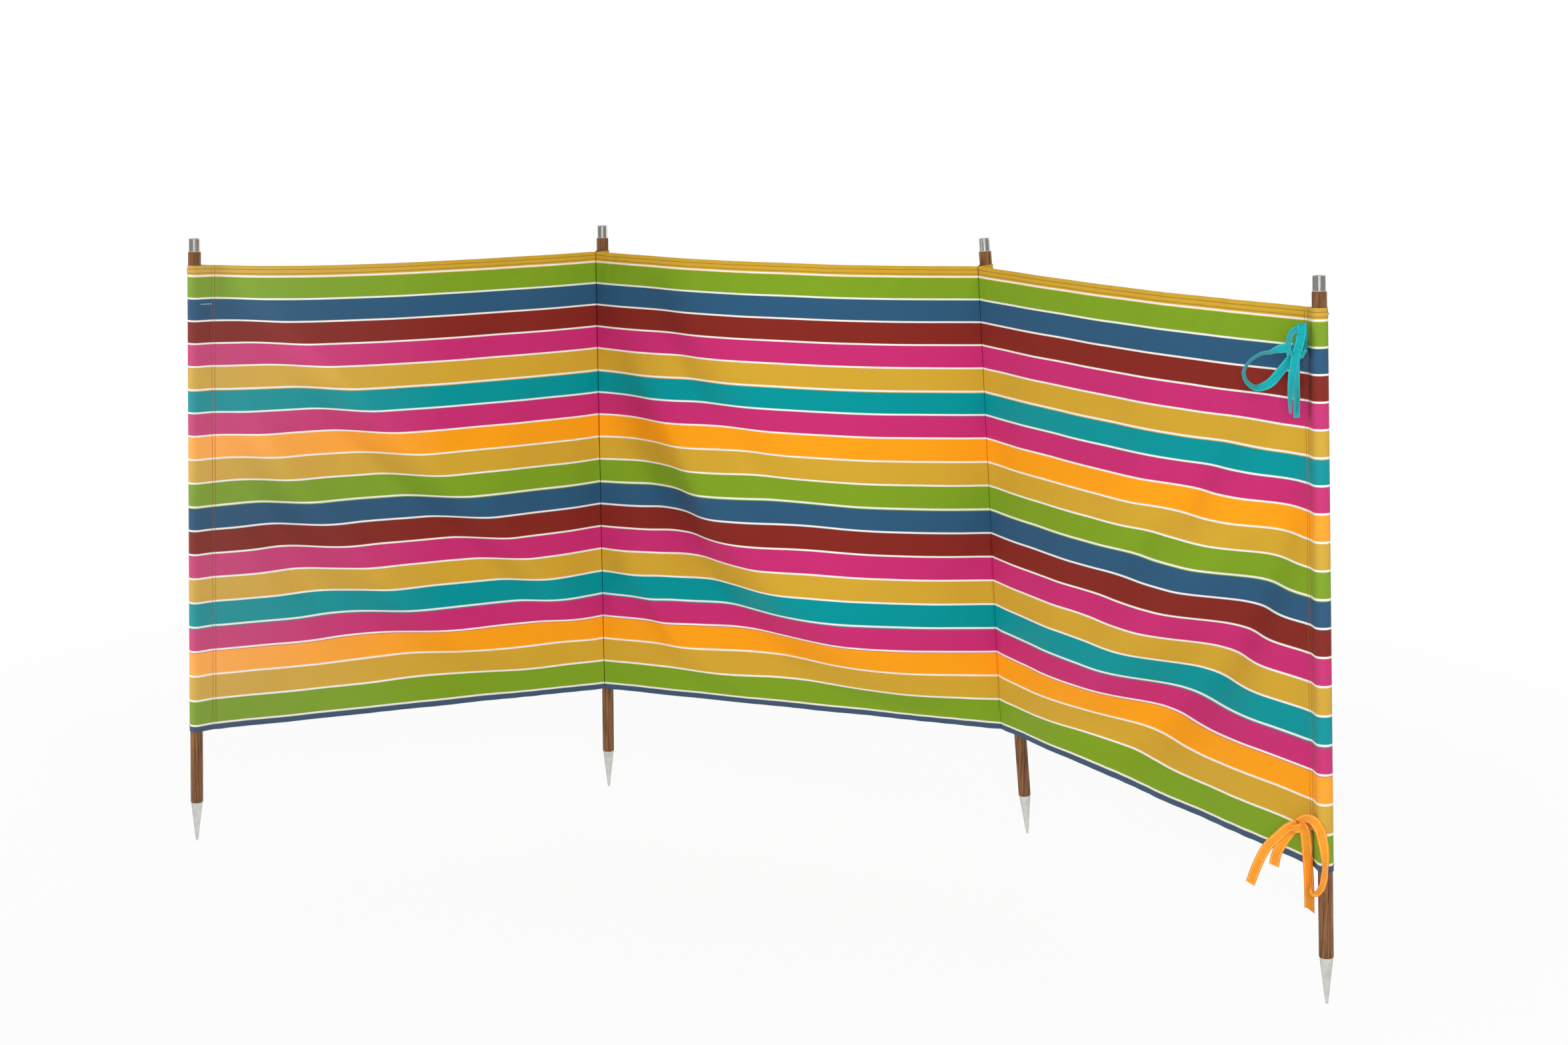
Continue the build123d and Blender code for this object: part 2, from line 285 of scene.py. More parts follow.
class Effects:
    """The shared effects, each built once."""

    SHADE_RANGE: Span = (0.1, 1.1)
    CLOUD_RANGE: Span = (0.2, 0.8)
    YARN_SCALES: tuple[Triple, Triple] = ((60.0, 900.0, 1.0), (900.0, 60.0, 1.0))
    YARN_DETAIL = 2.0
    CROSS_HEIGHT = 0.5
    CROSS_SHADE = 0.15
    CLOUD_DETAIL = 5.0
    SCRATCH_TURN: Triple = (0.3, 0.2, 0.7)
    SCRATCH_SCALE: Triple = (1.0, 1.0, 0.08)
    SCRATCH_DETAIL = 3.0
    SCRATCH_EDGE: Span = (0.58, 0.75)
    SMUDGE_SCALE = 55.0
    SMUDGE_DETAIL = 4.0
    SMUDGE_EDGE: Span = (0.35, 0.7)
    ROW_EDGE: Span = (0.6, 1.0)
    DASH_EDGE: Span = (0.3, 0.36)
    GROOVE_EDGE: Span = (0.8, 3.0)

    def __init__(self) -> None:
        """Build every group."""
        self.weave = self._weave()
        self.mottle = self._mottle()
        self.scuffs = self._scuffs()
        self.stitching = self._stitching()

    def _weave(self) -> Effect:
        """Plain weave with uneven yarn, on coordinates in metres.

        Returns:
            The group, which puts out the yarns' height and their shade.
        """
        effect = Effect("plain_weave", {"Cloth": None, "Threads": 1100.0, "Slub": 0.5}, ("Height", "Shade"))
        graph, ins = effect.graph, effect.ins
        parts = graph.split(ins["Cloth"])
        turns = graph.maths("MULTIPLY", ins["Threads"], math.pi)
        waves = [graph.maths("SINE", graph.maths("MULTIPLY", parts[axis], turns)) for axis in ("X", "Y")]
        cross = graph.maths("MULTIPLY", *waves)
        yarns = [
            graph.noise(graph.stretched(ins["Cloth"], scale), 1.0, self.YARN_DETAIL)
            for scale in self.YARN_SCALES
        ]
        slub = graph.maths("MULTIPLY", graph.maths("ADD", *yarns), ins["Slub"])
        for label, share in (("Height", self.CROSS_HEIGHT), ("Shade", self.CROSS_SHADE)):
            graph.feed(effect.outs[label], graph.maths("ADD", graph.maths("MULTIPLY", cross, share), slub))
        return effect

    def _mottle(self) -> Effect:
        """Slow, cloudy change over a surface.

        Returns:
            The group, which puts out a cloud from about 0 to 1.
        """
        effect = Effect("cloudy_mottle", {"Place": None, "Size": 0.2, "Contrast": 1.0}, ("Cloud",))
        graph, ins = effect.graph, effect.ins
        noise = graph.noise(ins["Place"], graph.maths("DIVIDE", 1.0, ins["Size"]), self.CLOUD_DETAIL)
        centred = graph.maths("MULTIPLY", graph.maths("SUBTRACT", noise, 0.5), ins["Contrast"])
        graph.feed(effect.outs["Cloud"], graph.maths("ADD", centred, 0.5))
        return effect

    def _scuffs(self) -> Effect:
        """Handling marks on metal.

        Returns:
            The group, which puts out fine scratches and smudges.
        """
        effect = Effect("handling_scuffs", {"Place": None, "Fineness": 900.0}, ("Scratch", "Smudge"))
        graph, ins = effect.graph, effect.ins
        slanted = graph.stretched(ins["Place"], self.SCRATCH_SCALE, self.SCRATCH_TURN)
        lines = graph.noise(slanted, ins["Fineness"], self.SCRATCH_DETAIL)
        graph.feed(effect.outs["Scratch"], graph.span(lines, *self.SCRATCH_EDGE, 0.0, 1.0))
        smudge = graph.noise(ins["Place"], self.SMUDGE_SCALE, self.SMUDGE_DETAIL)
        graph.feed(effect.outs["Smudge"], graph.span(smudge, *self.SMUDGE_EDGE, 0.0, 1.0))
        return effect

    def _stitching(self) -> Effect:
        """Two rows of dashes along a tape, on coordinates in metres with 0 at its middle.

        Returns:
            The group, which puts out the dashes and the grooves that they lie in.
        """
        sizes = {"Row": 0.0072, "Width": 0.0008, "Pitch": 0.0036}
        effect = Effect("tape_stitching", {"Cloth": None, **sizes}, ("Dash", "Groove"))
        graph, ins = effect.graph, effect.ins
        parts = graph.split(ins["Cloth"])
        away = graph.away(graph.maths("ABSOLUTE", parts["Y"]), ins["Row"])
        near = graph.maths("DIVIDE", away, ins["Width"])
        on_row = graph.span(near, *self.ROW_EDGE, 1.0, 0.0)
        step = graph.maths("FRACT", graph.maths("DIVIDE", parts["X"], ins["Pitch"]))
        thread = graph.span(graph.away(step, 0.5), *self.DASH_EDGE, 1.0, 0.0)
        graph.feed(effect.outs["Dash"], graph.maths("MULTIPLY", on_row, thread))
        graph.feed(effect.outs["Groove"], graph.span(near, *self.GROOVE_EDGE, 1.0, 0.0))
        return effect


class Finish:
    """A procedural material with a Principled shader."""

    @staticmethod
    def _start(name: str, **sockets: object) -> tuple[bpy.types.Material, Graph, bpy.types.Node]:
        """Make a material.

        Args:
            name: Name of the material.
            **sockets: Uniform values of the shader, by socket name with _ for a space.

        Returns:
            The material, its graph and its Principled node.
        """
        material = bpy.data.materials.new(name)
        material.use_nodes = True
        graph = Graph(material.node_tree)
        shader = graph.add("BsdfPrincipled")
        graph.add("OutputMaterial", {"Surface": shader.outputs["BSDF"]})
        for label, value in sockets.items():
            shader.inputs[label.replace("_", " ")].default_value = value
        return material, graph, shader

    @staticmethod
    def _bump(graph: Graph, shader: bpy.types.Node, height: Socket, relief: Span) -> None:
        """Feed a height into the shader's normal, with the strength and the distance of its relief."""
        bump = graph.add("Bump", {"Height": height, "Strength": relief[0], "Distance": relief[1]})
        graph.feed(shader.inputs["Normal"], bump.outputs["Normal"])


@dataclass(frozen=True)
class CanvasFinish(Finish):
    """Striped woven canvas, coloured by the stripe coordinate that its mesh carries."""

    bands: tuple[Dye, ...]
    cloth_length: float
    seam_rows: tuple[float, ...]
    hem_rows: tuple[float, ...]
    line_half_width: float = 0.038
    line_softness: float = 0.006
    roughness: Span = (0.44, 0.56)
    weave: Settings = (("Threads", 1100.0), ("Slub", 0.6))
    mottle: Settings = (("Size", 0.35), ("Contrast", 1.4))
    weave_tone: Span = (0.93, 1.05)
    cloud_tone: Span = (0.97, 1.03)
    # Painted shade in the grooves of the stitch rows.
    painted_groove_shade: float = 0.8
    groove_width: float = 0.0016
    groove_floor_share: float = 0.25
    groove_depth: float = 1.6
    press_creases: tuple[float, ...] = (0.98, 2.18, 2.85)
    crease_width: float = 0.005
    crease_height: float = 0.7
    # Where and how far the dyes lose saturation towards the end sleeves: painted sheen.
    painted_sheen_left: Span = (0.15, 0.74)
    painted_sheen_right: Span = (0.1, 0.13)
    left_sheen_share: float = 0.1
    right_sheen_share: float = 0.03
    relief: Span = (0.35, 0.0006)

    def material(self, effects: Effects) -> bpy.types.Material:
        """Make the material.

        Args:
            effects: The shared effects.

        Returns:
            The material, for meshes with the UV maps cloth and stripe.
        """
        material, graph, shader = self._start(
            "striped_canvas", Sheen_Weight=0.01, Sheen_Roughness=0.5, Specular_IOR_Level=0.08
        )
        cloth = graph.add("UVMap", uv_map="cloth").outputs["UV"]
        parts = graph.split(cloth)
        stripe = graph.split(graph.add("UVMap", uv_map="stripe").outputs["UV"])["Y"]
        weave = effects.weave.place(graph, {"Cloth": cloth, **dict(self.weave)})
        cloud = effects.mottle.place(graph, {"Place": cloth, **dict(self.mottle)})["Cloud"]
        groove = self._grooves(graph, parts["X"], parts["Y"])
        tone = graph.gathered("MULTIPLY", (
            graph.span(weave["Shade"], *effects.SHADE_RANGE, *self.weave_tone),
            graph.span(cloud, *effects.CLOUD_RANGE, *self.cloud_tone),
            # Darker in the stitch grooves: painted shade.
            graph.span(groove, 0.0, 1.0, 1.0, self.painted_groove_shade),
        ))
        # The base colour loses saturation towards the end sleeves: painted sheen.
        colour = graph.toned(self._banded(graph, stripe), tone, self._painted_sheen(graph, parts["X"]))
        graph.feed(shader.inputs["Base Color"], colour)
        graph.feed(shader.inputs["Roughness"], graph.span(cloud, *effects.CLOUD_RANGE, *self.roughness))
        height = graph.maths("ADD", weave["Height"], self._creases(graph, parts["X"]))
        height = graph.maths("SUBTRACT", height, graph.maths("MULTIPLY", groove, self.groove_depth))
        self._bump(graph, shader, height, self.relief)
        return material

    def _banded(self, graph: Graph, stripe: Socket) -> Socket:
        """Lay the bands side by side.

        Args:
            graph: The material's graph.
            stripe: The stripe coordinate.

        Returns:
            The colour of the bands with the undyed lines between them.
        """
        count = len(self.bands)
        ramp = graph.add("ValToRGB", {0: graph.maths("DIVIDE", graph.maths("ADD", stripe, 1.0), count)})
        ramp.color_ramp.interpolation = "CONSTANT"
        stops = ramp.color_ramp.elements
        for index, band in enumerate(self.bands):
            stop = stops[index] if index < len(stops) else stops.new(index / count)
            stop.position = index / count
            stop.color = band.value
        nearest = graph.maths("MINIMUM", graph.maths("ROUND", stripe), count - 2.0)
        away = graph.away(stripe, graph.maths("MAXIMUM", nearest, 0.0))
        low, high = self.line_half_width - self.line_softness, self.line_half_width + self.line_softness
        return graph.blend(graph.span(away, low, high, 1.0, 0.0), ramp.outputs["Color"], Dye.UNDYED.value)

    def _painted_sheen(self, graph: Graph, along: Socket) -> Socket:
        """Paint a sheen towards the two end sleeves, as dyes that lose saturation there.

        Args:
            graph: The material's graph.
            along: Metres along the cloth from its left edge.

        Returns:
            The share of the saturation that is kept.
        """
        left = graph.span(along, *self.painted_sheen_left, self.left_sheen_share, 0.0)
        from_right = graph.maths("SUBTRACT", self.cloth_length, along)
        right = graph.span(from_right, *self.painted_sheen_right, self.right_sheen_share, 0.0)
        return graph.maths("SUBTRACT", 1.0, graph.maths("MAXIMUM", left, right))

    def _grooves(self, graph: Graph, along: Socket, drop: Socket) -> Socket:
        """Find the grooves that the rows of stitches draw into the cloth.

        Args:
            graph: The material's graph.
            along: Metres along the cloth from its left edge.
            drop: Metres below its top edge.

        Returns:
            A mask that is 1 in the grooves.
        """
        aways = [graph.away(along, row) for row in self.seam_rows]
        aways += [graph.away(drop, row) for row in self.hem_rows]
        floor = self.groove_width * self.groove_floor_share
        return graph.span(graph.gathered("MINIMUM", aways), floor, self.groove_width, 1.0, 0.0)

    def _creases(self, graph: Graph, along: Socket) -> Socket:
        """Raise faint upright creases where the rolled canvas was pressed.

        Args:
            graph: The material's graph.
            along: Metres along the cloth from its left edge.

        Returns:
            The height of the creases.
        """
        return graph.gathered("ADD", [
            graph.span(graph.away(along, place), 0.0, self.crease_width, self.crease_height, 0.0)
            for place in self.press_creases
        ])


@dataclass(frozen=True)
class TapeFinish(Finish):
    """Folded canvas tape with a stitched row along each edge."""

    name: str
    dye: Dye
    thread_lift: float = 1.6
    thread_saturation: float = 0.8
    weave: Settings = (("Threads", 1300.0), ("Slub", 0.7))
    mottle: Settings = (("Size", 0.03), ("Contrast", 1.6))
    weave_tone: Span = (0.9, 1.06)
    cloud_tone: Span = (0.92, 1.06)
    # Painted shade in the grooves of the stitch rows.
    painted_groove_shade: float = 0.86
    roughness: Span = (0.62, 0.78)
    thread_height: float = 2.0
    groove_depth: float = 1.2
    relief: Span = (0.5, 0.0005)

    def _thread(self) -> Colour:
        """Colour of the thread: the tape's dye, lighter and less saturated."""
        hue, saturation, value = colorsys.rgb_to_hsv(*self.dye.value[:3])
        return (*colorsys.hsv_to_rgb(hue, saturation * self.thread_saturation, value * self.thread_lift), 1.0)

    def material(self, effects: Effects) -> bpy.types.Material:
        """Make the material.

        Args:
            effects: The shared effects.

        Returns:
            The material, for ribbons with the UV map cloth.
        """
        material, graph, shader = self._start(
            self.name, Sheen_Weight=0.2, Sheen_Roughness=0.45, Specular_IOR_Level=0.3
        )
        cloth = graph.add("UVMap", uv_map="cloth").outputs["UV"]
        weave = effects.weave.place(graph, {"Cloth": cloth, **dict(self.weave)})
        cloud = effects.mottle.place(graph, {"Place": cloth, **dict(self.mottle)})["Cloud"]
        rows = effects.stitching.place(graph, {"Cloth": cloth})
        tone = graph.gathered("MULTIPLY", (
            graph.span(weave["Shade"], *effects.SHADE_RANGE, *self.weave_tone),
            graph.span(cloud, *effects.CLOUD_RANGE, *self.cloud_tone),
            # Darker in the stitch grooves: painted shade.
            graph.span(rows["Groove"], 0.0, 1.0, 1.0, self.painted_groove_shade),
        ))
        colour = graph.blend(rows["Dash"], graph.toned(self.dye.value, tone), self._thread())
        graph.feed(shader.inputs["Base Color"], colour)
        graph.feed(shader.inputs["Roughness"], graph.span(cloud, *effects.CLOUD_RANGE, *self.roughness))
        raised = graph.maths("MULTIPLY", rows["Dash"], self.thread_height)
        sunk = graph.maths("MULTIPLY", rows["Groove"], self.groove_depth)
        height = graph.maths("SUBTRACT", graph.maths("ADD", weave["Height"], raised), sunk)
        self._bump(graph, shader, height, self.relief)
        return material


@dataclass(frozen=True)
class WoodFinish(Finish):
    """Oiled hardwood with straight grain along the pole."""

    pale: Colour = dyed(156, 111, 72)
    middle: Colour = dyed(123, 82, 50)
    dark: Colour = dyed(74, 47, 29)
    stops: Triple = (0.34, 0.5, 0.68)
    grain_scale: Triple = (1.0, 1.0, 0.035)
    bend_scale: float = 45.0
    bend_detail: float = 3.0
    bend_reach: float = 0.006
    ring_scale: float = 260.0
    ring_detail: float = 4.0
    ring_share: float = 0.8
    ring_edge: Span = (0.3, 0.7)
    pore_scale: float = 1500.0
    pore_detail: float = 2.0
    pore_edge: Span = (0.6, 0.72)
    pore_depth: float = 0.65
    mottle: Settings = (("Size", 0.12), ("Contrast", 1.5))
    cloud_share: float = 0.2
    roughness: Span = (0.55, 0.38)
    relief: Span = (0.35, 0.0006)

    def material(self, effects: Effects) -> bpy.types.Material:
        """Make the material.

        Args:
            effects: The shared effects.

        Returns:
            The material, on the part's own coordinates.
        """
        material, graph, shader = self._start("oiled_hardwood", Specular_IOR_Level=0.25, Coat_Weight=0.04)
        place = graph.add("TexCoord").outputs["Object"]
        grain = graph.stretched(place, self.grain_scale)
        bend = graph.noise(grain, self.bend_scale, self.bend_detail, "Color")
        reach = (self.bend_reach,) * 3
        shift = graph.add("VectorMath", {0: bend, 1: reach}, operation="MULTIPLY").outputs[0]
        bent = graph.add("VectorMath", {0: grain, 1: shift}, operation="ADD").outputs[0]
        rings = graph.noise(bent, self.ring_scale, self.ring_detail)
        pores = graph.noise(grain, self.pore_scale, self.pore_detail)
        cloud = effects.mottle.place(graph, {"Place": place, **dict(self.mottle)})["Cloud"]
        ringed = graph.maths("MULTIPLY", rings, self.ring_share)
        figure = graph.maths("ADD", ringed, graph.maths("MULTIPLY", cloud, self.cloud_share))
        ramp = graph.add("ValToRGB", {0: figure})
        stops = ramp.color_ramp.elements
        stops[0].position, stops[0].color = self.stops[0], self.dark
        stops[1].position, stops[1].color = self.stops[2], self.pale
        stops.new(self.stops[1]).color = self.middle
        pore = graph.span(pores, *self.pore_edge, 0.0, self.pore_depth)
        graph.feed(shader.inputs["Base Color"], graph.blend(pore, ramp.outputs["Color"], self.dark))
        graph.feed(shader.inputs["Roughness"], graph.span(rings, *self.ring_edge, *self.roughness))
        self._bump(graph, shader, graph.maths("SUBTRACT", rings, pore), self.relief)
        return material


@dataclass(frozen=True)
class MetalFinish(Finish):
    """Bare metal with handling marks.

    An edge below 1 dims what it reflects at a slant, and turned metal has fine lines round it.
    """

    name: str
    colour: Colour
    polish: float
    smear: float
    turned: bool = False
    edge: float = 1.0
    fineness: float = 900.0
    scratch_share: float = 0.7
    smudge_tone: float = 0.9
    lathe_stretch: Triple = (1.0, 1.0, 60.0)
    lathe_scale: float = 60.0
    lathe_detail: float = 2.0
    relief: Span = (0.12, 0.0003)

    def material(self, effects: Effects) -> bpy.types.Material:
        """Make the material.

        Args:
            effects: The shared effects.

        Returns:
            The material, on the part's own coordinates.
        """
        tint = (self.edge, self.edge, self.edge, 1.0)
        material, graph, shader = self._start(self.name, Metallic=1.0, Specular_Tint=tint)
        place = graph.add("TexCoord").outputs["Object"]
        scuffs = effects.scuffs.place(graph, {"Place": place, "Fineness": self.fineness})
        smeared = graph.maths("MULTIPLY", scuffs["Smudge"], self.smear)
        scratched = graph.maths("MULTIPLY", scuffs["Scratch"], self.smear * self.scratch_share)
        worn = graph.maths("ADD", smeared, scratched)
        graph.feed(shader.inputs["Roughness"], graph.maths("ADD", worn, self.polish))
        tone = graph.span(scuffs["Smudge"], 0.0, 1.0, 1.0, self.smudge_tone)
        graph.feed(shader.inputs["Base Color"], graph.toned(self.colour, tone))
        lathe: object = 0.0
        if self.turned:
            rings = graph.stretched(place, self.lathe_stretch)
            lathe = graph.noise(rings, self.lathe_scale, self.lathe_detail)
        self._bump(graph, shader, graph.maths("SUBTRACT", lathe, scuffs["Scratch"]), self.relief)
        return material


@dataclass(frozen=True)
class ThreadFinish(Finish):
    """Twisted sewing thread."""

    name: str
    colour: Colour
    mottle: Settings = (("Size", 0.004), ("Contrast", 2.0))
    cloud_tone: Span = (0.8, 1.15)
    twist_scale: float = 900.0
    relief: Span = (0.4, 0.0003)

    def material(self, effects: Effects) -> bpy.types.Material:
        """Make the material.

        Args:
            effects: The shared effects.

        Returns:
            The material, on the part's own coordinates.
        """
        material, graph, shader = self._start(self.name, Sheen_Weight=0.1, Roughness=0.6)
        place = graph.add("TexCoord").outputs["Object"]
        cloud = effects.mottle.place(graph, {"Place": place, **dict(self.mottle)})["Cloud"]
        tone = graph.span(cloud, *effects.CLOUD_RANGE, *self.cloud_tone)
        graph.feed(shader.inputs["Base Color"], graph.toned(self.colour, tone))
        twist = graph.add("TexWave", {"Vector": place, "Scale": self.twist_scale, "Distortion": 1.0})
        self._bump(graph, shader, twist.outputs["Fac"], self.relief)
        return material


def new_piece(
    name: str,
    form: Form,
    material: bpy.types.Material,
    maps: Optional[dict[str, np.ndarray]] = None,
    sharp_degrees: float = 55.0,
) -> bpy.types.Object:
    """Make a smooth mesh piece that rides on the part.

    Args:
        name: Name of the piece.
        form: Its points, and the corner numbers of each face.
        material: Its finish.
        maps: UV maps by name, one pair for each point.
        sharp_degrees: Angle past which an edge stays sharp.

    Returns:
        The object.
    """
    points, faces = form
    mesh = bpy.data.meshes.new(name)
    mesh.from_pydata([tuple(point) for point in points], [], [tuple(face) for face in faces])
    corners = np.empty(len(mesh.loops), dtype=np.int32)
    mesh.loops.foreach_get("vertex_index", corners)
    for label, pairs in (maps or {}).items():
        layer = mesh.uv_layers.new(name=label)
        layer.data.foreach_set("uv", np.ascontiguousarray(pairs[corners], dtype=np.float32).ravel())
    mesh.polygons.foreach_set("use_smooth", np.ones(len(mesh.polygons), dtype=bool))
    mesh.set_sharp_from_angle(angle=math.radians(sharp_degrees))
    mesh.materials.append(material)
    piece = bpy.data.objects.new(name, mesh)
    bpy.context.scene.collection.objects.link(piece)
    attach(piece, BODY)
    LOG.info("piece %s: %d faces", name, len(mesh.polygons))
    return piece


def grid_faces(columns: int, rows: int, closed: bool = False, looped: bool = False) -> Faces:
    """Quads of a grid whose points run row by row within each column.

    Args:
        columns: Number of columns.
        rows: Number of points in a column.
        closed: Whether each column closes on itself.
        looped: Whether the last column joins the first.

    Returns:
        The corner numbers of each quad.
    """
    faces = []
    for column in range(columns if looped else columns - 1):
        here, there = column * rows, (column + 1) % columns * rows
        for row in range(rows if closed else rows - 1):
            after = (row + 1) % rows
            faces.append((here + row, there + row, there + after, here + after))
    return faces


def joined(forms: Iterable[Form]) -> Form:
    """Take several forms as one.

    Args:
        forms: The points and the faces of each.

    Returns:
        All the points, and the faces with their corner numbers moved on.
    """
    points, faces, count = [], [], 0
    for more, sides in forms:
        faces += [tuple(corner + count for corner in face) for face in sides]
        points.append(more)
        count += len(more)
    return np.concatenate(points), faces


@dataclass(frozen=True)
class PoleLine:
    """Centre line of a pole, read from the mount at its tip."""

    foot: np.ndarray
    axis: np.ndarray

    @classmethod
    def of(cls, pole: PoleName) -> "PoleLine":
        """The line of a named pole."""
        mount = next(m for m in frame["record"]["mounts"] if m["name"] == f"{pole.value}_tip")
        return cls(np.array(mount["pos_m"], float), -unit(np.array(mount["axis"], float)))

    def at(self, height: float) -> np.ndarray:
        """Point at a height measured along the pole."""
        return self.foot + self.axis * height

    def square(self, heading: float) -> np.ndarray:
        """Direction square to the pole at a heading in degrees from +X."""
        level = np.array([math.cos(math.radians(heading)), math.sin(math.radians(heading)), 0.0])
        return squared(level, self.axis)


@dataclass(frozen=True)
class Seam:
    """Where the canvas is sewn together round a pole, as pairs for its top and its bottom."""

    pole: PoleName
    reach: Span
    heading: Span
    sag: float = 0.0
    sag_skew: float = 1.3

    def frame_at(self, canvas: "Canvas", down: float) -> tuple[np.ndarray, np.ndarray, np.ndarray, float]:
        """Place of the seam's section.

        Args:
            canvas: The canvas that is sewn here.
            down: Share of the canvas's height below its top edge.

        Returns:
            The pole's centre, the direction to the seam, the direction across it and the reach.
        """
        line = PoleLine.of(self.pole)
        settle = self.sag * math.sin(math.pi * down**self.sag_skew)
        centre = line.at(canvas.top - canvas.height * down) - UP * settle
        heading = self.heading[0] + (self.heading[1] - self.heading[0]) * down
        reach = self.reach[0] + (self.reach[1] - self.reach[0]) * down
        towards = line.square(heading)
        return centre, towards, np.cross(line.axis, towards), reach


@dataclass(frozen=True)
class Slack:
    """Slack that stands towards the sheltered side above a slanting front and is gone below it."""

    bow: Points
    front: Points
    softness: float

    def depth(self, along: np.ndarray, down: np.ndarray) -> np.ndarray:
        """Metres of bow at shares along and down the bay."""
        edge = smooth_line(self.front, along)
        return smooth_line(self.bow, along) * (1 - smoothstep((down - edge) / self.softness + 0.5))


@dataclass(frozen=True)
class Fold:
    """A soft ridge, or a groove where its height is below zero, along a line across a bay."""

    line: Points
    height: Points
    width: float

    def depth(self, along: np.ndarray, down: np.ndarray) -> np.ndarray:
        """Metres of bow at shares along and down the bay."""
        offset = (down - smooth_line(self.line, along)) / self.width
        return smooth_line(self.height, along) * np.exp(-offset * offset)


@dataclass(frozen=True)
class Wave:
    """An even wave over a bay: its height, and radians for each share along and down the bay."""

    height: float
    along: float
    down: float = 0.0
    shift: float = 0.0

    def at(self, along: np.ndarray, down: float, bend: np.ndarray | float = 0.0) -> np.ndarray:
        """Height of the wave at shares along and down the bay, moved on by a bend in radians."""
        return self.height * np.sin(self.along * along + self.down * down + self.shift + bend)


@dataclass(frozen=True)
class Bay:
    """A bay of canvas between two seams, with fine waves and wrinkles over its folds."""

    name: BayName
    start: Seam
    end: Seam
    shapes: tuple[Slack | Fold, ...]
    columns: int = 118
    steady_from: float = 0.93
    steady_zone: float = 0.07
    steadying: float = 0.8
    held_zone: float = 0.03
    ripples: tuple[Wave, ...] = (Wave(0.0011, 31, 9), Wave(0.0008, 19, -23, 1.3))
    short_ripple: Wave = Wave(0.0004, 57, 41, 0.7)
    short_patches: Wave = Wave(1.0, 13, -8)
    top_pucker: Wave = Wave(0.0013, 135, 60)
    top_pucker_bend: Wave = Wave(14, 3)
    top_pucker_zone: float = 0.06
    low_pucker: Wave = Wave(0.001, 118, -50)
    low_pucker_zone: float = 0.05
    pucker_patches: tuple[Wave, Wave] = (Wave(0.5, 11, 0.0, 2.1), Wave(1.0, 5, 0.0, 0.4))
    seam_pucker: Wave = Wave(0.0011, 40, 74)
    seam_pucker_bend: Wave = Wave(2.0, 0.0, 21)
    seam_pucker_zone: float = 0.05

    def bow(self, along: np.ndarray, down: float) -> np.ndarray:
        """Shape one level of the bay, steadied near the bottom hem and held at the seams.

        Args:
            along: Shares of the bay's length.
            down: Share of the canvas's height below its top edge.

        Returns:
            Metres that the canvas stands towards the sheltered side.
        """
        level = np.full_like(along, down)
        total = sum(shape.depth(along, level) for shape in self.shapes)
        steady = 1 - self.steadying * smoothstep(np.array((down - self.steady_from) / self.steady_zone))
        held = smoothstep(along / self.held_zone) * smoothstep((1 - along) / self.held_zone)
        return total * steady + (self._ripples(along, down) + self._puckers(along, down)) * held

    def _ripples(self, along: np.ndarray, down: float) -> np.ndarray:
        """Slow, shallow unevenness all over the cloth, in metres."""
        short = self.short_ripple.at(along, down) * self.short_patches.at(along, down)
        return sum(wave.at(along, down) for wave in self.ripples) + short

    def _puckers(self, along: np.ndarray, down: float) -> np.ndarray:
        """Short wrinkles that the hems and the seams draw into the cloth beside them.

        Args:
            along: Shares of the bay's length.
            down: Share of the canvas's height below its top edge.

        Returns:
            Metres that the wrinkles stand towards the sheltered side.
        """
        below_top = math.exp(-down / self.top_pucker_zone)
        above_bottom = math.exp(-(1 - down) / self.low_pucker_zone)
        hems = below_top * self.top_pucker.at(along, down, self.top_pucker_bend.at(along, down))
        hems = hems + above_bottom * self.low_pucker.at(along, down)
        first, second = (wave.at(along, down) for wave in self.pucker_patches)
        beside = np.exp(-along / self.seam_pucker_zone) + np.exp(-(1 - along) / self.seam_pucker_zone)
        seams = beside * self.seam_pucker.at(along, down, self.seam_pucker_bend.at(along, down))
        return hems * (0.5 + first * second) + seams


LEFT_END_SEAM = Seam(PoleName.LEFT_END, (0.0395, 0.0395), (20.5, 20.5))
LEFT_MID_SEAM = Seam(PoleName.LEFT_MID, (0.0425, 0.0425), (-109.5, -96.5), sag=0.009)
RIGHT_MID_SEAM = Seam(PoleName.RIGHT_MID, (0.0425, 0.0545), (-122.0, -152.0), sag=0.008)
RIGHT_END_SEAM = Seam(PoleName.RIGHT_END, (0.031, 0.031), (122.0, 122.0))

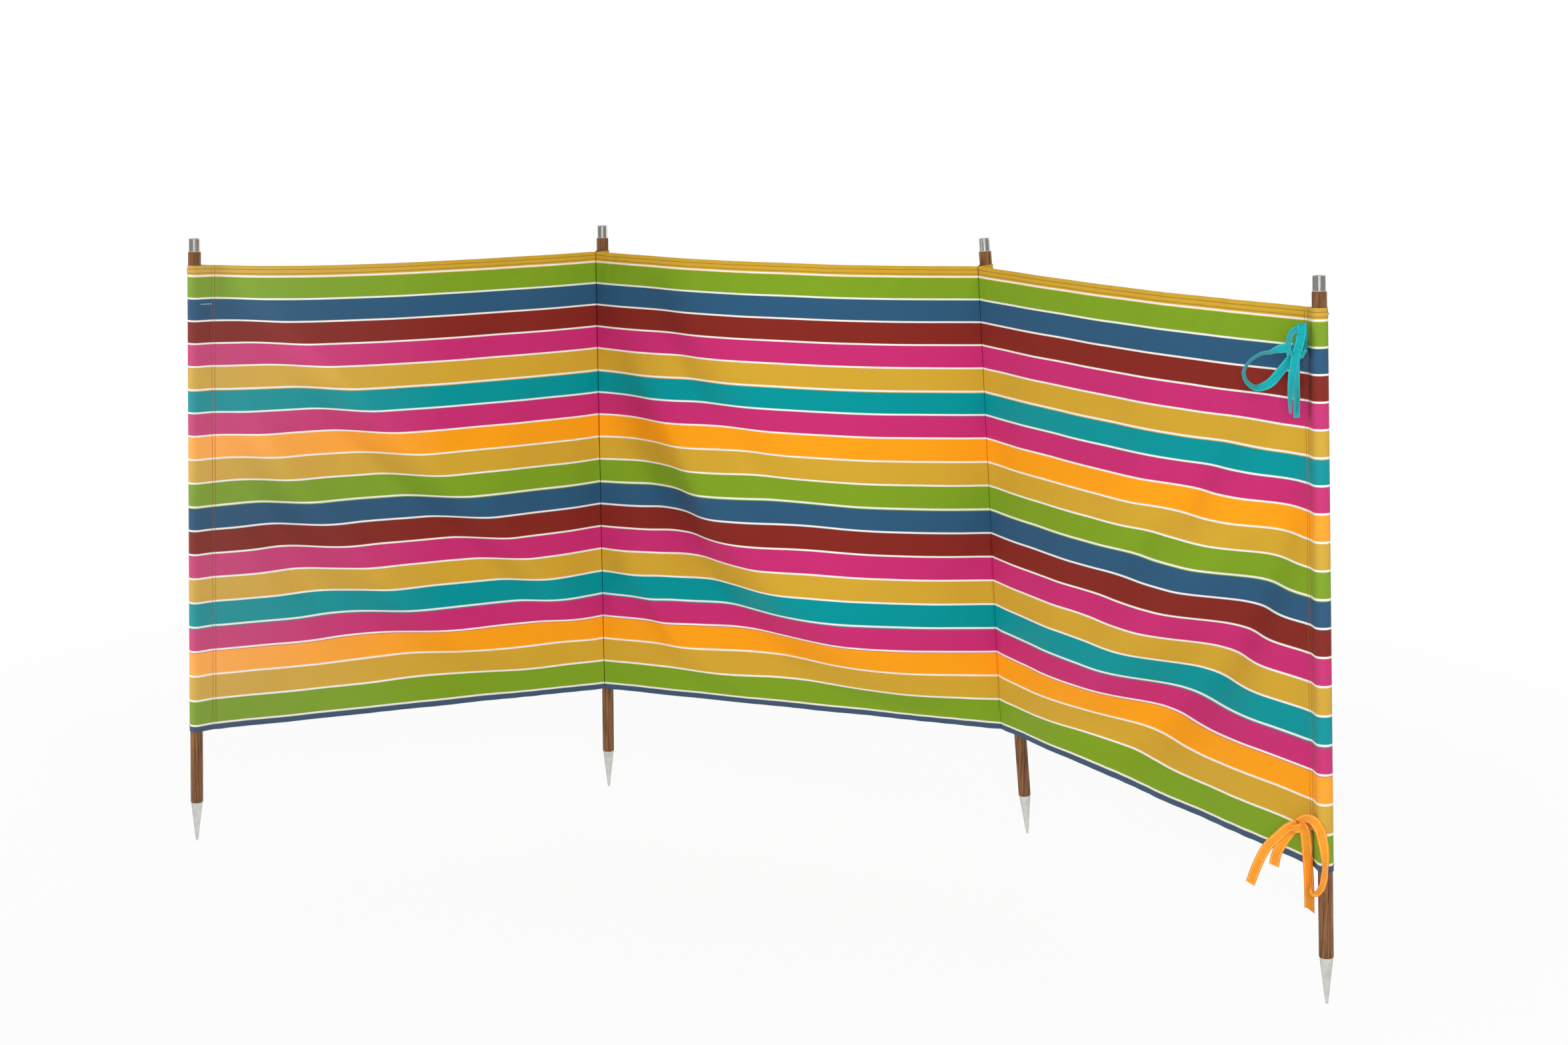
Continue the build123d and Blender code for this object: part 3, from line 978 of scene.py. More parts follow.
LEFT_BAY = Bay(
    BayName.LEFT,
    LEFT_END_SEAM,
    LEFT_MID_SEAM,
    (
        Slack(
            bow=((0, 0), (0.1, 0.046), (0.22, 0.083), (0.45, 0.1), (0.62, 0.088), (0.8, 0.056),
                 (0.92, 0.028), (1, 0)),
            front=((0, 0.02), (0.1, 0.115), (0.3, 0.295), (0.5, 0.465), (0.7, 0.63), (0.9, 0.825), (1, 0.9)),
            softness=0.15,
        ),
        Slack(
            bow=((0, 0), (0.1, 0.02), (0.3, 0.024), (0.5, 0.018), (0.65, 0.008), (0.8, 0.004), (1, 0)),
            front=((0, 0.36), (0.1, 0.43), (0.2, 0.55), (0.3, 0.66), (0.4, 0.74), (0.5, 0.815),
                   (0.7, 0.92), (1, 0.98)),
            softness=0.14,
        ),
        Fold(
            line=((0, 0.45), (0.1, 0.53), (0.2, 0.655), (0.3, 0.765), (0.4, 0.83), (0.5, 0.885),
                  (0.65, 0.945), (1, 1)),
            height=((0, 0), (0.1, -0.018), (0.3, -0.028), (0.5, -0.026), (0.65, -0.012), (0.8, 0), (1, 0)),
            width=0.085,
        ),
        Fold(
            line=((0, 0.25), (0.1, 0.345), (0.3, 0.565), (0.5, 0.765), (0.7, 0.87), (1, 0.97)),
            height=((0, 0), (0.1, 0.01), (0.5, 0.012), (0.75, 0.012), (0.9, 0.004), (1, 0)),
            width=0.06,
        ),
    ),
)
MIDDLE_BAY = Bay(
    BayName.MIDDLE,
    LEFT_MID_SEAM,
    RIGHT_MID_SEAM,
    (
        Slack(
            bow=((0, 0), (0.1, 0.042), (0.2, 0.068), (0.3, 0.092), (0.42, 0.105), (0.56, 0.103),
                 (0.7, 0.095), (0.84, 0.06), (0.94, 0.025), (1, 0)),
            front=((0, 0.24), (0.1, 0.315), (0.2, 0.456), (0.3, 0.62), (0.4, 0.722), (0.5, 0.805),
                   (0.6, 0.868), (0.8, 0.935), (1, 0.96)),
            softness=0.24,
        ),
        Fold(
            line=((0, 0.02), (0.1, 0.09), (0.2, 0.165), (0.3, 0.31), (0.4, 0.406), (0.5, 0.5),
                  (0.62, 0.545), (0.75, 0.56)),
            height=((0, 0), (0.1, -0.012), (0.22, -0.026), (0.35, -0.036), (0.5, -0.033),
                    (0.65, -0.018), (0.8, 0), (1, 0)),
            width=0.1,
        ),
        Fold(
            line=((0, 0.4), (0.1, 0.48), (0.2, 0.634), (0.3, 0.76), (0.4, 0.865), (0.6, 0.94)),
            height=((0, 0), (0.08, -0.013), (0.3, -0.014), (0.45, -0.008), (0.6, 0), (1, 0)),
            width=0.07,
        ),
        Fold(
            line=((0, 0.66), (0.1, 0.73), (0.2, 0.854), (0.3, 0.923), (0.5, 0.98)),
            height=((0, 0), (0.08, 0.017), (0.2, 0.021), (0.32, 0.022), (0.45, 0.006), (0.6, 0), (1, 0)),
            width=0.06,
        ),
    ),
    columns=124,
)
RIGHT_BAY = Bay(
    BayName.RIGHT,
    RIGHT_MID_SEAM,
    RIGHT_END_SEAM,
    (
        Slack(
            bow=((0, 0), (0.1, 0.015), (0.2, 0.027), (0.32, 0.037), (0.46, 0.046), (0.6, 0.048),
                 (0.74, 0.038), (0.88, 0.02), (1, 0)),
            front=((0, 0.95), (0.2, 0.897), (0.3, 0.866), (0.4, 0.824), (0.5, 0.766), (0.6, 0.684),
                   (0.7, 0.588), (0.8, 0.475), (0.9, 0.335), (1, 0.2)),
            softness=0.16,
        ),
        Fold(
            line=((0.2, 0.74), (0.3, 0.66), (0.4, 0.608), (0.5, 0.53), (0.6, 0.431), (0.7, 0.358),
                  (0.82, 0.24), (1, 0.1)),
            height=((0, 0), (0.25, 0), (0.4, -0.01), (0.6, -0.02), (0.75, -0.022), (0.88, -0.01), (1, 0)),
            width=0.07,
        ),
        Fold(
            line=((0.1, 0.99), (0.3, 0.945), (0.4, 0.913), (0.5, 0.85), (0.6, 0.785), (0.7, 0.7),
                  (0.8, 0.6), (0.9, 0.46), (1, 0.34)),
            height=((0, 0), (0.2, -0.003), (0.3, -0.014), (0.45, -0.037), (0.65, -0.044), (0.8, -0.036),
                    (0.92, -0.024), (1, 0)),
            width=0.105,
        ),
    ),
)


@dataclass
class Canvas:
    """The canvas: one sheet from sleeve to sleeve, with tucks round the middle poles and folded hems."""

    effects: Effects
    pole_length: float = 1.5
    setdown: float = 0.066
    height: float = 1.152
    thickness: float = 0.0013
    pocket_radius: float = 0.0161
    pocket_arc_points: int = 19
    pocket_side_points: int = 7
    seam_half_gap: float = 0.0014
    flap: float = 0.011
    flap_shares: tuple[float, ...] = (1.0, 0.66, 0.33)
    flap_lift_share: float = 1.8
    crowding: float = 0.35
    top_hem: float = 0.024
    bottom_hem: float = 0.016
    hem_gap: float = 0.0017
    hem_shares: tuple[float, ...] = (0.04, 0.5, 1.0)
    sleeve_hem_share: float = 0.06
    sleeve_gap_share: float = 0.25
    least_hem: float = 0.0004
    fold_reach: float = 0.001
    second_row: float = 0.0075
    top_rows: tuple[float, ...] = (0.0075, 0.0175)
    bottom_row: float = 0.0125
    rows: int = 104
    first_line: float = 0.024
    first_pitch: float = 0.054
    first_band_share: float = 0.9
    pitch_growth: float = 0.00024
    bays: tuple[Bay, ...] = (LEFT_BAY, MIDDLE_BAY, RIGHT_BAY)
    bands: tuple[Dye, ...] = (
        Dye.MUSTARD, Dye.GREEN, Dye.BLUE, Dye.DARK_RED, Dye.PINK, Dye.MUSTARD, Dye.TEAL,
        Dye.PINK, Dye.ORANGE, Dye.MUSTARD, Dye.GREEN, Dye.BLUE, Dye.DARK_RED, Dye.PINK,
        Dye.MUSTARD, Dye.TEAL, Dye.PINK, Dye.ORANGE, Dye.MUSTARD, Dye.GREEN, Dye.SLATE,
    )
    starts: dict[BayName, int] = field(default_factory=dict)
    pieces: list[bpy.types.Object] = field(default_factory=list)
    front: np.ndarray = field(init=False)
    normals: np.ndarray = field(init=False)
    flat: Span = field(init=False)

    @property
    def top(self) -> float:
        """Height of the top edge along a pole."""
        return self.pole_length - self.setdown

    @property
    def seam_columns(self) -> tuple[int, int]:
        """Columns of the grid at the seams of the left and the right end sleeve."""
        return self.starts[BayName.LEFT], self.starts[BayName.RIGHT] + self.bays[-1].columns + 1

    def _pocket(self, seam: Seam, down: float) -> np.ndarray:
        """Run the cloth round a pole, out from the seam on one side and back to it on the other.

        Args:
            seam: The seam that closes the pocket.
            down: Share of the height below the top edge.

        Returns:
            The points of the section.
        """
        centre, towards, across, reach = seam.frame_at(self, down)
        radius, gap = self.pocket_radius, self.seam_half_gap
        touch = math.atan2(gap, reach) + math.acos(radius / math.hypot(reach, gap))
        turn = np.linspace(touch, FULL_TURN - touch, self.pocket_arc_points)
        arc = np.stack([np.cos(turn), np.sin(turn)], 1) * radius
        share = smoothstep(np.linspace(0, 1, self.pocket_side_points))[:-1, None]
        out = np.array([reach, gap]) * (1 - share) + arc[0] * share
        mirrored = out[::-1] * np.array([1.0, -1.0])
        plan = np.concatenate([out, arc, mirrored])
        return centre + plan[:, :1] * towards + plan[:, 1:] * across

    def _flap(self, seam: Seam, down: float, side: float) -> np.ndarray:
        """Lay the edge of the cloth past the seam of an end sleeve on the back of the bay.

        Args:
            seam: The seam.
            down: Share of the height below the top edge.
            side: 1 or -1 for the side of the seam that is the back.

        Returns:
            The points from the raw edge towards the seam.
        """
        centre, towards, across, reach = seam.frame_at(self, down)
        steps = np.array(self.flap_shares)[:, None] * self.flap
        return centre + towards * (reach + steps) + across * side * self.seam_half_gap * self.flap_lift_share

    def _bay(self, bay: Bay, down: float, start: np.ndarray, end: np.ndarray) -> np.ndarray:
        """Run the cloth along a bay, with its columns closer together near the seams.

        Args:
            bay: The bay.
            down: Share of the height below the top edge.
            start: Point at its left seam.
            end: Point at its right seam.

        Returns:
            The points between the two seams.
        """
        even = np.linspace(0, 1, bay.columns + 2)[1:-1]
        along = even - self.crowding / FULL_TURN * np.sin(FULL_TURN * even)
        level = unit((end - start) * np.array([1.0, 1.0, 0.0]))
        shelter = -np.cross(UP, level)
        return start + (end - start) * along[:, None] + shelter * bay.bow(along, down)[:, None]

    def _row(self, down: float) -> np.ndarray:
        """Run the cloth from its left edge to its right edge, and note where each bay starts.

        Args:
            down: Share of the height below the top edge.

        Returns:
            All points at that share.
        """
        first, last = self.bays[0].start, self.bays[-1].end
        tucks = [self._pocket(bay.end, down)[::-1] for bay in self.bays[:-1]]
        parts = [self._flap(first, down, 1.0), self._pocket(first, down)]
        for bay, following in zip(self.bays, (*tucks, self._pocket(last, down))):
            self.starts[bay.name] = sum(len(part) for part in parts) - 1
            parts.append(self._bay(bay, down, parts[-1][-1], following[0]))
            parts.append(following)
        parts.append(self._flap(last, down, -1.0)[::-1])
        return np.concatenate(parts)

    def _hem_share(self, columns: int) -> np.ndarray:
        """Fold the hems fully along the bays and hardly in the sleeves.

        Args:
            columns: Number of columns of the grid.

        Returns:
            How far the hems fold over at each column.
        """
        share = np.full(columns, self.sleeve_hem_share)
        for bay in self.bays:
            first = self.starts[bay.name]
            steps = np.arange(bay.columns + 2)
            full = smoothstep((np.minimum(steps, steps[::-1]) - 1) / 2)
            share[first : first + len(steps)] = self.sleeve_hem_share + (1 - self.sleeve_hem_share) * full
        return share

    def _stripe(self, drop: np.ndarray) -> np.ndarray:
        """Number the stripes.

        Args:
            drop: Metres below the top edge along the cloth.

        Returns:
            The stripe coordinate, a whole number on each pale line.
        """
        below = drop - self.first_line
        spread = self.first_pitch**2 + 4 * self.pitch_growth * np.maximum(below, 0)
        lower = (np.sqrt(spread) - self.first_pitch) / (2 * self.pitch_growth)
        return np.where(below > 0, lower, np.maximum(below / self.first_pitch, -self.first_band_share))

    def build(self) -> bpy.types.Object:
        """Make the sheet with its hems.

        Returns:
            The sheet.
        """
        downs = np.linspace(0, 1, self.rows)
        self.front = np.stack([self._row(down) for down in downs], 1)
        self.normals = unit(np.cross(np.gradient(self.front, axis=1), np.gradient(self.front, axis=0)))
        grid, drops = self._with_hems(downs)
        columns, rows = drops.shape
        length = run_lengths(self.front[:, self.rows // 2])
        self.flat = (float(length[-1]), self.height + self.top_hem + self.bottom_hem)
        across = np.repeat(length[:, None], rows, 1)
        maps = {
            "cloth": np.stack([across, drops], -1).reshape(-1, 2),
            "stripe": np.stack([across, self._stripe(drops)], -1).reshape(-1, 2),
        }
        faces = [face[::-1] for face in grid_faces(columns, rows)]
        material = self._finish(length).material(self.effects)
        sheet = new_piece("canvas", (grid.reshape(-1, 3), faces), material, maps)
        self._thicken(sheet)
        bays = [bay.value for bay in BayName]
        hidden = [f"{bay}_{part}" for bay in bays for part in ("panel", "top_hem", "bottom_hem")]
        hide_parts(*hidden, *(f"{pole.value}_sleeve" for pole in PoleName))
        return sheet

    def _finish(self, length: np.ndarray) -> CanvasFinish:
        """Choose the finish, with grooves where the rows of stitches lie.

        Args:
            length: Metres along the cloth at each column.

        Returns:
            The finish.
        """
        first, last = (float(length[column]) for column in self.seam_columns)
        return CanvasFinish(
            self.bands,
            cloth_length=self.flat[0],
            seam_rows=(first, first + self.second_row, last - self.second_row, last),
            hem_rows=(*self.top_rows, self.height - self.bottom_row),
        )

    def _with_hems(self, downs: np.ndarray) -> tuple[np.ndarray, np.ndarray]:
        """Add the rows that fold over to the back at the top and at the bottom.

        Args:
            downs: Share of the height of each row.

        Returns:
            The points with the hems, and the metres below the top edge along the cloth.
        """
        drops = np.repeat(downs[None] * self.height, len(self.front), 0)
        above, reach_above = self._folded(0, 1, self.top_hem)
        below, reach_below = self._folded(self.rows - 1, -1, self.bottom_hem)
        grid = np.concatenate([above[:, ::-1], self.front, below], 1)
        return grid, np.concatenate([-reach_above[:, ::-1], drops, self.height + reach_below], 1)

    def _folded(self, edge: int, inward: int, hem: float) -> tuple[np.ndarray, np.ndarray]:
        """Fold one hem over to the back.

        Args:
            edge: Row of the grid at the fold.
            inward: 1 or -1 for the way from the fold into the cloth.
            hem: Depth of the hem.

        Returns:
            The points from the fold to the raw edge, by column and row, and the metres past the fold.
        """
        front, behind = self.front, -self.normals
        share = self._hem_share(len(front))
        gap = self.hem_gap * (self.sleeve_gap_share + (1 - self.sleeve_gap_share) * share)[:, None]
        lip = unit(front[:, edge] - front[:, edge + inward])
        rows = [front[:, edge] + behind[:, edge] * gap / 2 + lip * gap / 2]
        reach = [np.full(len(front), self.fold_reach)]
        column = np.arange(len(front))
        for part in self.hem_shares:
            depth = np.maximum(hem * part * share, self.least_hem + self.least_hem * part)
            place = depth / (self.height / (self.rows - 1))
            low = np.floor(place).astype(int)
            rest = (place - low)[:, None]
            at, on = edge + inward * low, edge + inward * (low + 1)
            point = front[column, at] * (1 - rest) + front[column, on] * rest
            rows.append(point + behind[column, at] * gap)
            reach.append(2 * self.fold_reach + depth)
        return np.stack(rows, 1), np.stack(reach, 1)

    def _thicken(self, sheet: bpy.types.Object) -> None:
        """Give the sheet its two faces and its edges.

        Args:
            sheet: The sheet, which gets a new mesh.
        """
        solid = sheet.modifiers.new("thickness", "SOLIDIFY")
        solid.thickness, solid.offset = self.thickness, 0.0
        graph = bpy.context.evaluated_depsgraph_get()
        mesh = bpy.data.meshes.new_from_object(sheet.evaluated_get(graph))
        sheet.modifiers.clear()
        sheet.data = mesh

    def surface(self, column: float, down: np.ndarray) -> Row:
        """Points and outward directions on the sheltered face along one column.

        Args:
            column: Column of the grid, between columns where it isn't whole.
            down: Shares of the height.

        Returns:
            The points on the outside of the cloth and the directions out of it.
        """
        place = np.clip(down, 0, 1) * (self.rows - 1)
        low = np.minimum(place.astype(int), self.rows - 2)
        rest = (place - low)[:, None]
        first, share = int(column), column - int(column)
        second = min(first + 1, len(self.front) - 1)

        def read(grid: np.ndarray) -> np.ndarray:
            """Grid between its four nearest points."""
            near, far = (grid[at, low] * (1 - rest) + grid[at, low + 1] * rest for at in (first, second))
            return near * (1 - share) + far * share

        normal = unit(read(self.normals))
        return read(self.front) + normal * self.thickness / 2, normal


@dataclass
class Sewing:
    """Rows of stitches on the canvas, each stitch a small spindle of thread."""

    canvas: Canvas
    effects: Effects
    pitch: float = 0.0042
    length: float = 0.0031
    radius: float = 0.0005
    sides: int = 5
    shoulder_share: float = 0.28
    seat_share: float = 0.35
    row_ends: Span = (0.004, 0.996)
    row_points: int = 160
    hem_layers: float = 1.5
    seam_layers: float = 2.0
    seam_gaps: float = 1.9
    back_inset: int = 2
    seam_thread: Colour = dyed(182, 112, 58)
    hem_thread: Colour = dyed(138, 92, 24)
    bottom_thread: Colour = dyed(150, 150, 150)
    tack_thread: Colour = dyed(196, 204, 208)
    tack_drop: float = 0.0925
    tack_columns: float = 4.2
    tack_points: int = 12
    tack_rises: tuple[float, ...] = (-1.6, 0.0, 1.6)

    def _stitches(self, line: np.ndarray, out: np.ndarray) -> Form:
        """Spindles laid end to end along a line on the cloth.

        Args:
            line: Points along the row.
            out: Directions out of the cloth at those points.

        Returns:
            The points and faces of all the stitches.
        """
        lengths = run_lengths(line)
        places = np.arange(self.pitch / 2, lengths[-1], self.pitch)

        def read(values: np.ndarray, at: np.ndarray) -> np.ndarray:
            """Values along the row at other places."""
            return np.stack([np.interp(at, lengths, values[:, axis]) for axis in range(3)], 1)

        quarter = self.pitch / 4
        rise = unit(read(out, places))
        ahead = unit(read(line, places + quarter) - read(line, places - quarter))
        side = np.cross(ahead, rise)
        turn = np.arange(self.sides) / self.sides * FULL_TURN
        ring = side[:, None] * np.cos(turn)[:, None] + rise[:, None] * np.sin(turn)[:, None]
        whole = ahead[:, None] * self.length
        shares = (-self.shoulder_share, self.shoulder_share)
        shoulders = [ring * self.radius + whole * share for share in shares]
        seat = read(line, places) + rise * self.radius * self.seat_share
        points = np.concatenate([-whole / 2, *shoulders, whole / 2], 1) + seat[:, None]
        steps = [(here, (here + 1) % self.sides) for here in range(self.sides)]
        second, tip = 1 + self.sides, 1 + 2 * self.sides
        faces = [(0, 1 + after, 1 + here) for here, after in steps]
        faces += [(1 + here, 1 + after, second + after, second + here) for here, after in steps]
        faces += [(tip, second + here, second + after) for here, after in steps]
        return joined((stitch, faces) for stitch in points)

    def _sew(self, name: str, rows: Iterable[Row], thread: Colour) -> None:
        """Join rows of stitches into one piece.

        Args:
            name: Name of the piece.
            rows: Points along each row, with the directions out of the cloth.
            thread: Colour of the thread.
        """
        finish = ThreadFinish(f"{name}_thread", thread)
        form = joined(self._stitches(line, out) for line, out in rows)
        piece = new_piece(name, form, finish.material(self.effects))
        self.canvas.pieces.append(piece)

    def _across(self, columns: Iterable[float], down: float) -> Row:
        """Follow the cloth at one level.

        Args:
            columns: Columns of the grid.
            down: Share of the height below the top edge.

        Returns:
            The points at those columns and the directions out of the cloth.
        """
        level = np.array([down])
        lines, outs = zip(*(self.canvas.surface(float(column), level) for column in columns))
        return np.concatenate(lines), np.concatenate(outs)

    def _level_row(self, drop: float) -> list[Row]:
        """Lay a row along the whole canvas, on both faces.

        Args:
            drop: Metres below the top edge.

        Returns:
            The stretches of the row.
        """
        canvas, down = self.canvas, drop / self.canvas.height
        edge = len(canvas.flap_shares) + 1
        starts = [canvas.starts[bay.name] for bay in canvas.bays]
        spans = [(first, first + bay.columns + 1) for first, bay in zip(starts, canvas.bays)]
        spans[0] = (edge, spans[0][1])
        spans[-1] = (starts[-1], len(canvas.front) - 1 - edge)
        rows = [self._across(range(first, last + 1), down) for first, last in spans]
        through = canvas.thickness * self.hem_layers + canvas.hem_gap
        inner_last = starts[-1] + canvas.bays[-1].columns
        for first, last in spans:
            begin = max(first, starts[0]) + self.back_inset
            end = min(last, inner_last) - self.back_inset
            line, out = self._across(range(begin, end + 1), down)
            rows.append((line - out * through, -out))
        return rows

    def _upright_row(self, column: float) -> list[Row]:
        """Lay a row down the canvas through both layers of a seam, on both faces.

        Args:
            column: Column of the grid, between columns where it isn't whole.

        Returns:
            The row in front and the row at the back.
        """
        canvas = self.canvas
        through = canvas.thickness * self.seam_layers + canvas.seam_half_gap * self.seam_gaps
        line, out = canvas.surface(column, np.linspace(*self.row_ends, self.row_points))
        return [(line, out), (line - out * through, -out)]

    def _tack(self, seam: float) -> None:
        """Sew a close bar of thread from the left seam into its sleeve.

        Args:
            seam: Column of the grid at the seam.
        """
        columns = np.linspace(seam, seam - self.tack_columns, self.tack_points)
        line, out = self._across(columns, self.tack_drop / self.canvas.height)
        rows = [(line + UP * rise * self.radius, out) for rise in self.tack_rises]
        self._sew("bar_tack", rows, self.tack_thread)

    def build(self) -> None:
        """Sew the end sleeves and the hems."""
        canvas = self.canvas
        left, right = canvas.seam_columns
        step = np.linalg.norm(canvas.front[left + 2, 0] - canvas.front[left, 0]) / 2
        for name, seam, way in (("left_seam_stitches", left, 1), ("right_seam_stitches", right, -1)):
            second = seam + way * canvas.second_row / step
            rows = self._upright_row(float(seam)) + self._upright_row(second)
            self._sew(name, rows, self.seam_thread)
        self._tack(float(left))
        top = [row for drop in canvas.top_rows for row in self._level_row(drop)]
        self._sew("top_hem_stitches", top, self.hem_thread)
        bottom = self._level_row(canvas.height - canvas.bottom_row)
        self._sew("bottom_hem_stitches", bottom, self.bottom_thread)


@dataclass(frozen=True)
class Tape:
    """A run of tape.

    Each point gives millimetres to the right, out and up from the knot, and the tape's turn in degrees.
    """

    points: Points
    slant: float = 0.0
    across: Optional[Triple] = None

    def sampled(self, steps: int = 10) -> Row:
        """Draw a smooth curve through the points.

        Args:
            steps: Even steps from each point to the next.

        Returns:
            The places on the curve in metres, and the turns there in radians.
        """
        given = np.array(self.points, float)
        ends = np.concatenate([[2 * given[0] - given[1]], given, [2 * given[-1] - given[-2]]])
        share = np.arange(steps)[:, None] / steps
        spans = []
        for before, start, stop, after in zip(ends, ends[1:], ends[2:], ends[3:]):
            spans.append(0.5 * (2 * start + (stop - before) * share
                                + (2 * before - 5 * start + 4 * stop - after) * share**2
                                + (3 * start - before - 3 * stop + after) * share**3))
        whole = np.concatenate([*spans, given[-1:]])
        return whole[:, :3] * MILLIMETRE, np.radians(whole[:, 3])


UPPER_TAPES = (
    Tape(
        ((6, -7, -4, 0), (14, -9, 14, 0), (14, -5, 36, 0), (9, 4, 56, 0), (6, 12, 55, 0), (5, 17, 38, 0),
         (1, 19, 18, 0), (-5, 18, -8, 0), (-9, 16, -36, -14), (-11, 13, -66, -30), (-11, 10, -96, -48),
         (-9, 7, -124, -64)),
        slant=0.003,
        across=(1.0, 0.0, 0.12),
    ),
    Tape(
        ((-3, 3, -12, 0), (-1, 5, -46, 30), (3, 3, -86, 46), (5, 1, -134, 50)),
        slant=-0.002,
        across=(1.0, 0.25, 0.0),
    ),
    Tape(
        ((-4, 8, -2, 0), (-18, 12, 8, 0), (-33, 8, 7, -8), (-49, -4, -1, -46), (-67, -20, -8, -52),
         (-84, -36, -24, -54), (-93, -48, -46, -54), (-88, -50, -66, -60), (-73, -40, -78, -58),
         (-58, -30, -75, -42), (-44, -18, -64, -20), (-30, -6, -42, -6), (-17, 6, -20, 0), (-6, 8, -6, 0)),
    ),
    Tape(
        ((0, 14, 46, 40), (-12, 16, 43, 62), (-19, 17, 27, 68), (-20, 17, 9, 68), (-15, 15, -5, 62),
         (-9, 11, 3, 55), (-2, 9, 25, 50)),
    ),
    Tape(((29, -14, 14, 0), (17, -10, 10, 0), (6, -3, 3, 0)), across=(0.2, 0.0, 1.0)),
)
LOWER_TAPES = (
    Tape(
        ((-3, 10, 6, 0), (-24, 14, -2, 0), (-42, 12, -20, 5), (-63, 6, -46, 8), (-78, 0, -81, 8),
         (-92, -6, -128, 0)),
        slant=0.003,
    ),
    Tape(((-6, 2, -4, 0), (-27, 2, -33, 20), (-40, 0, -60, 15), (-45, -2, -88, 10)), slant=0.002),
    Tape(
        ((1, 14, 8, 30), (10, 19, -4, 20), (16, 18, -39, 8), (21, 16, -83, 0), (25, 14, -126, 0),
         (28, 12, -178, 0)),
        slant=0.009,
    ),
    Tape(
        ((0, 14, 11, 0), (10, 24, 22, 0), (22, 42, 23, 0), (32, 57, 9, 10), (38, 63, -16, 26),
         (42, 66, -44, 48), (43, 66, -69, 70), (42, 66, -88, 66), (38, 65, -109, 72), (31, 58, -122, 74),
         (25, 46, -124, 74), (26, 24, -112, 72), (28, 16, -66, 68), (30, 12, -36, 64), (28, 10, -14, 50),
         (18, 8, 2, 30), (4, 4, 3, 20)),
    ),
    Tape(((29, 6, 12, 0), (16, 6, 9, 0), (4, 6, 3, 0))),
)


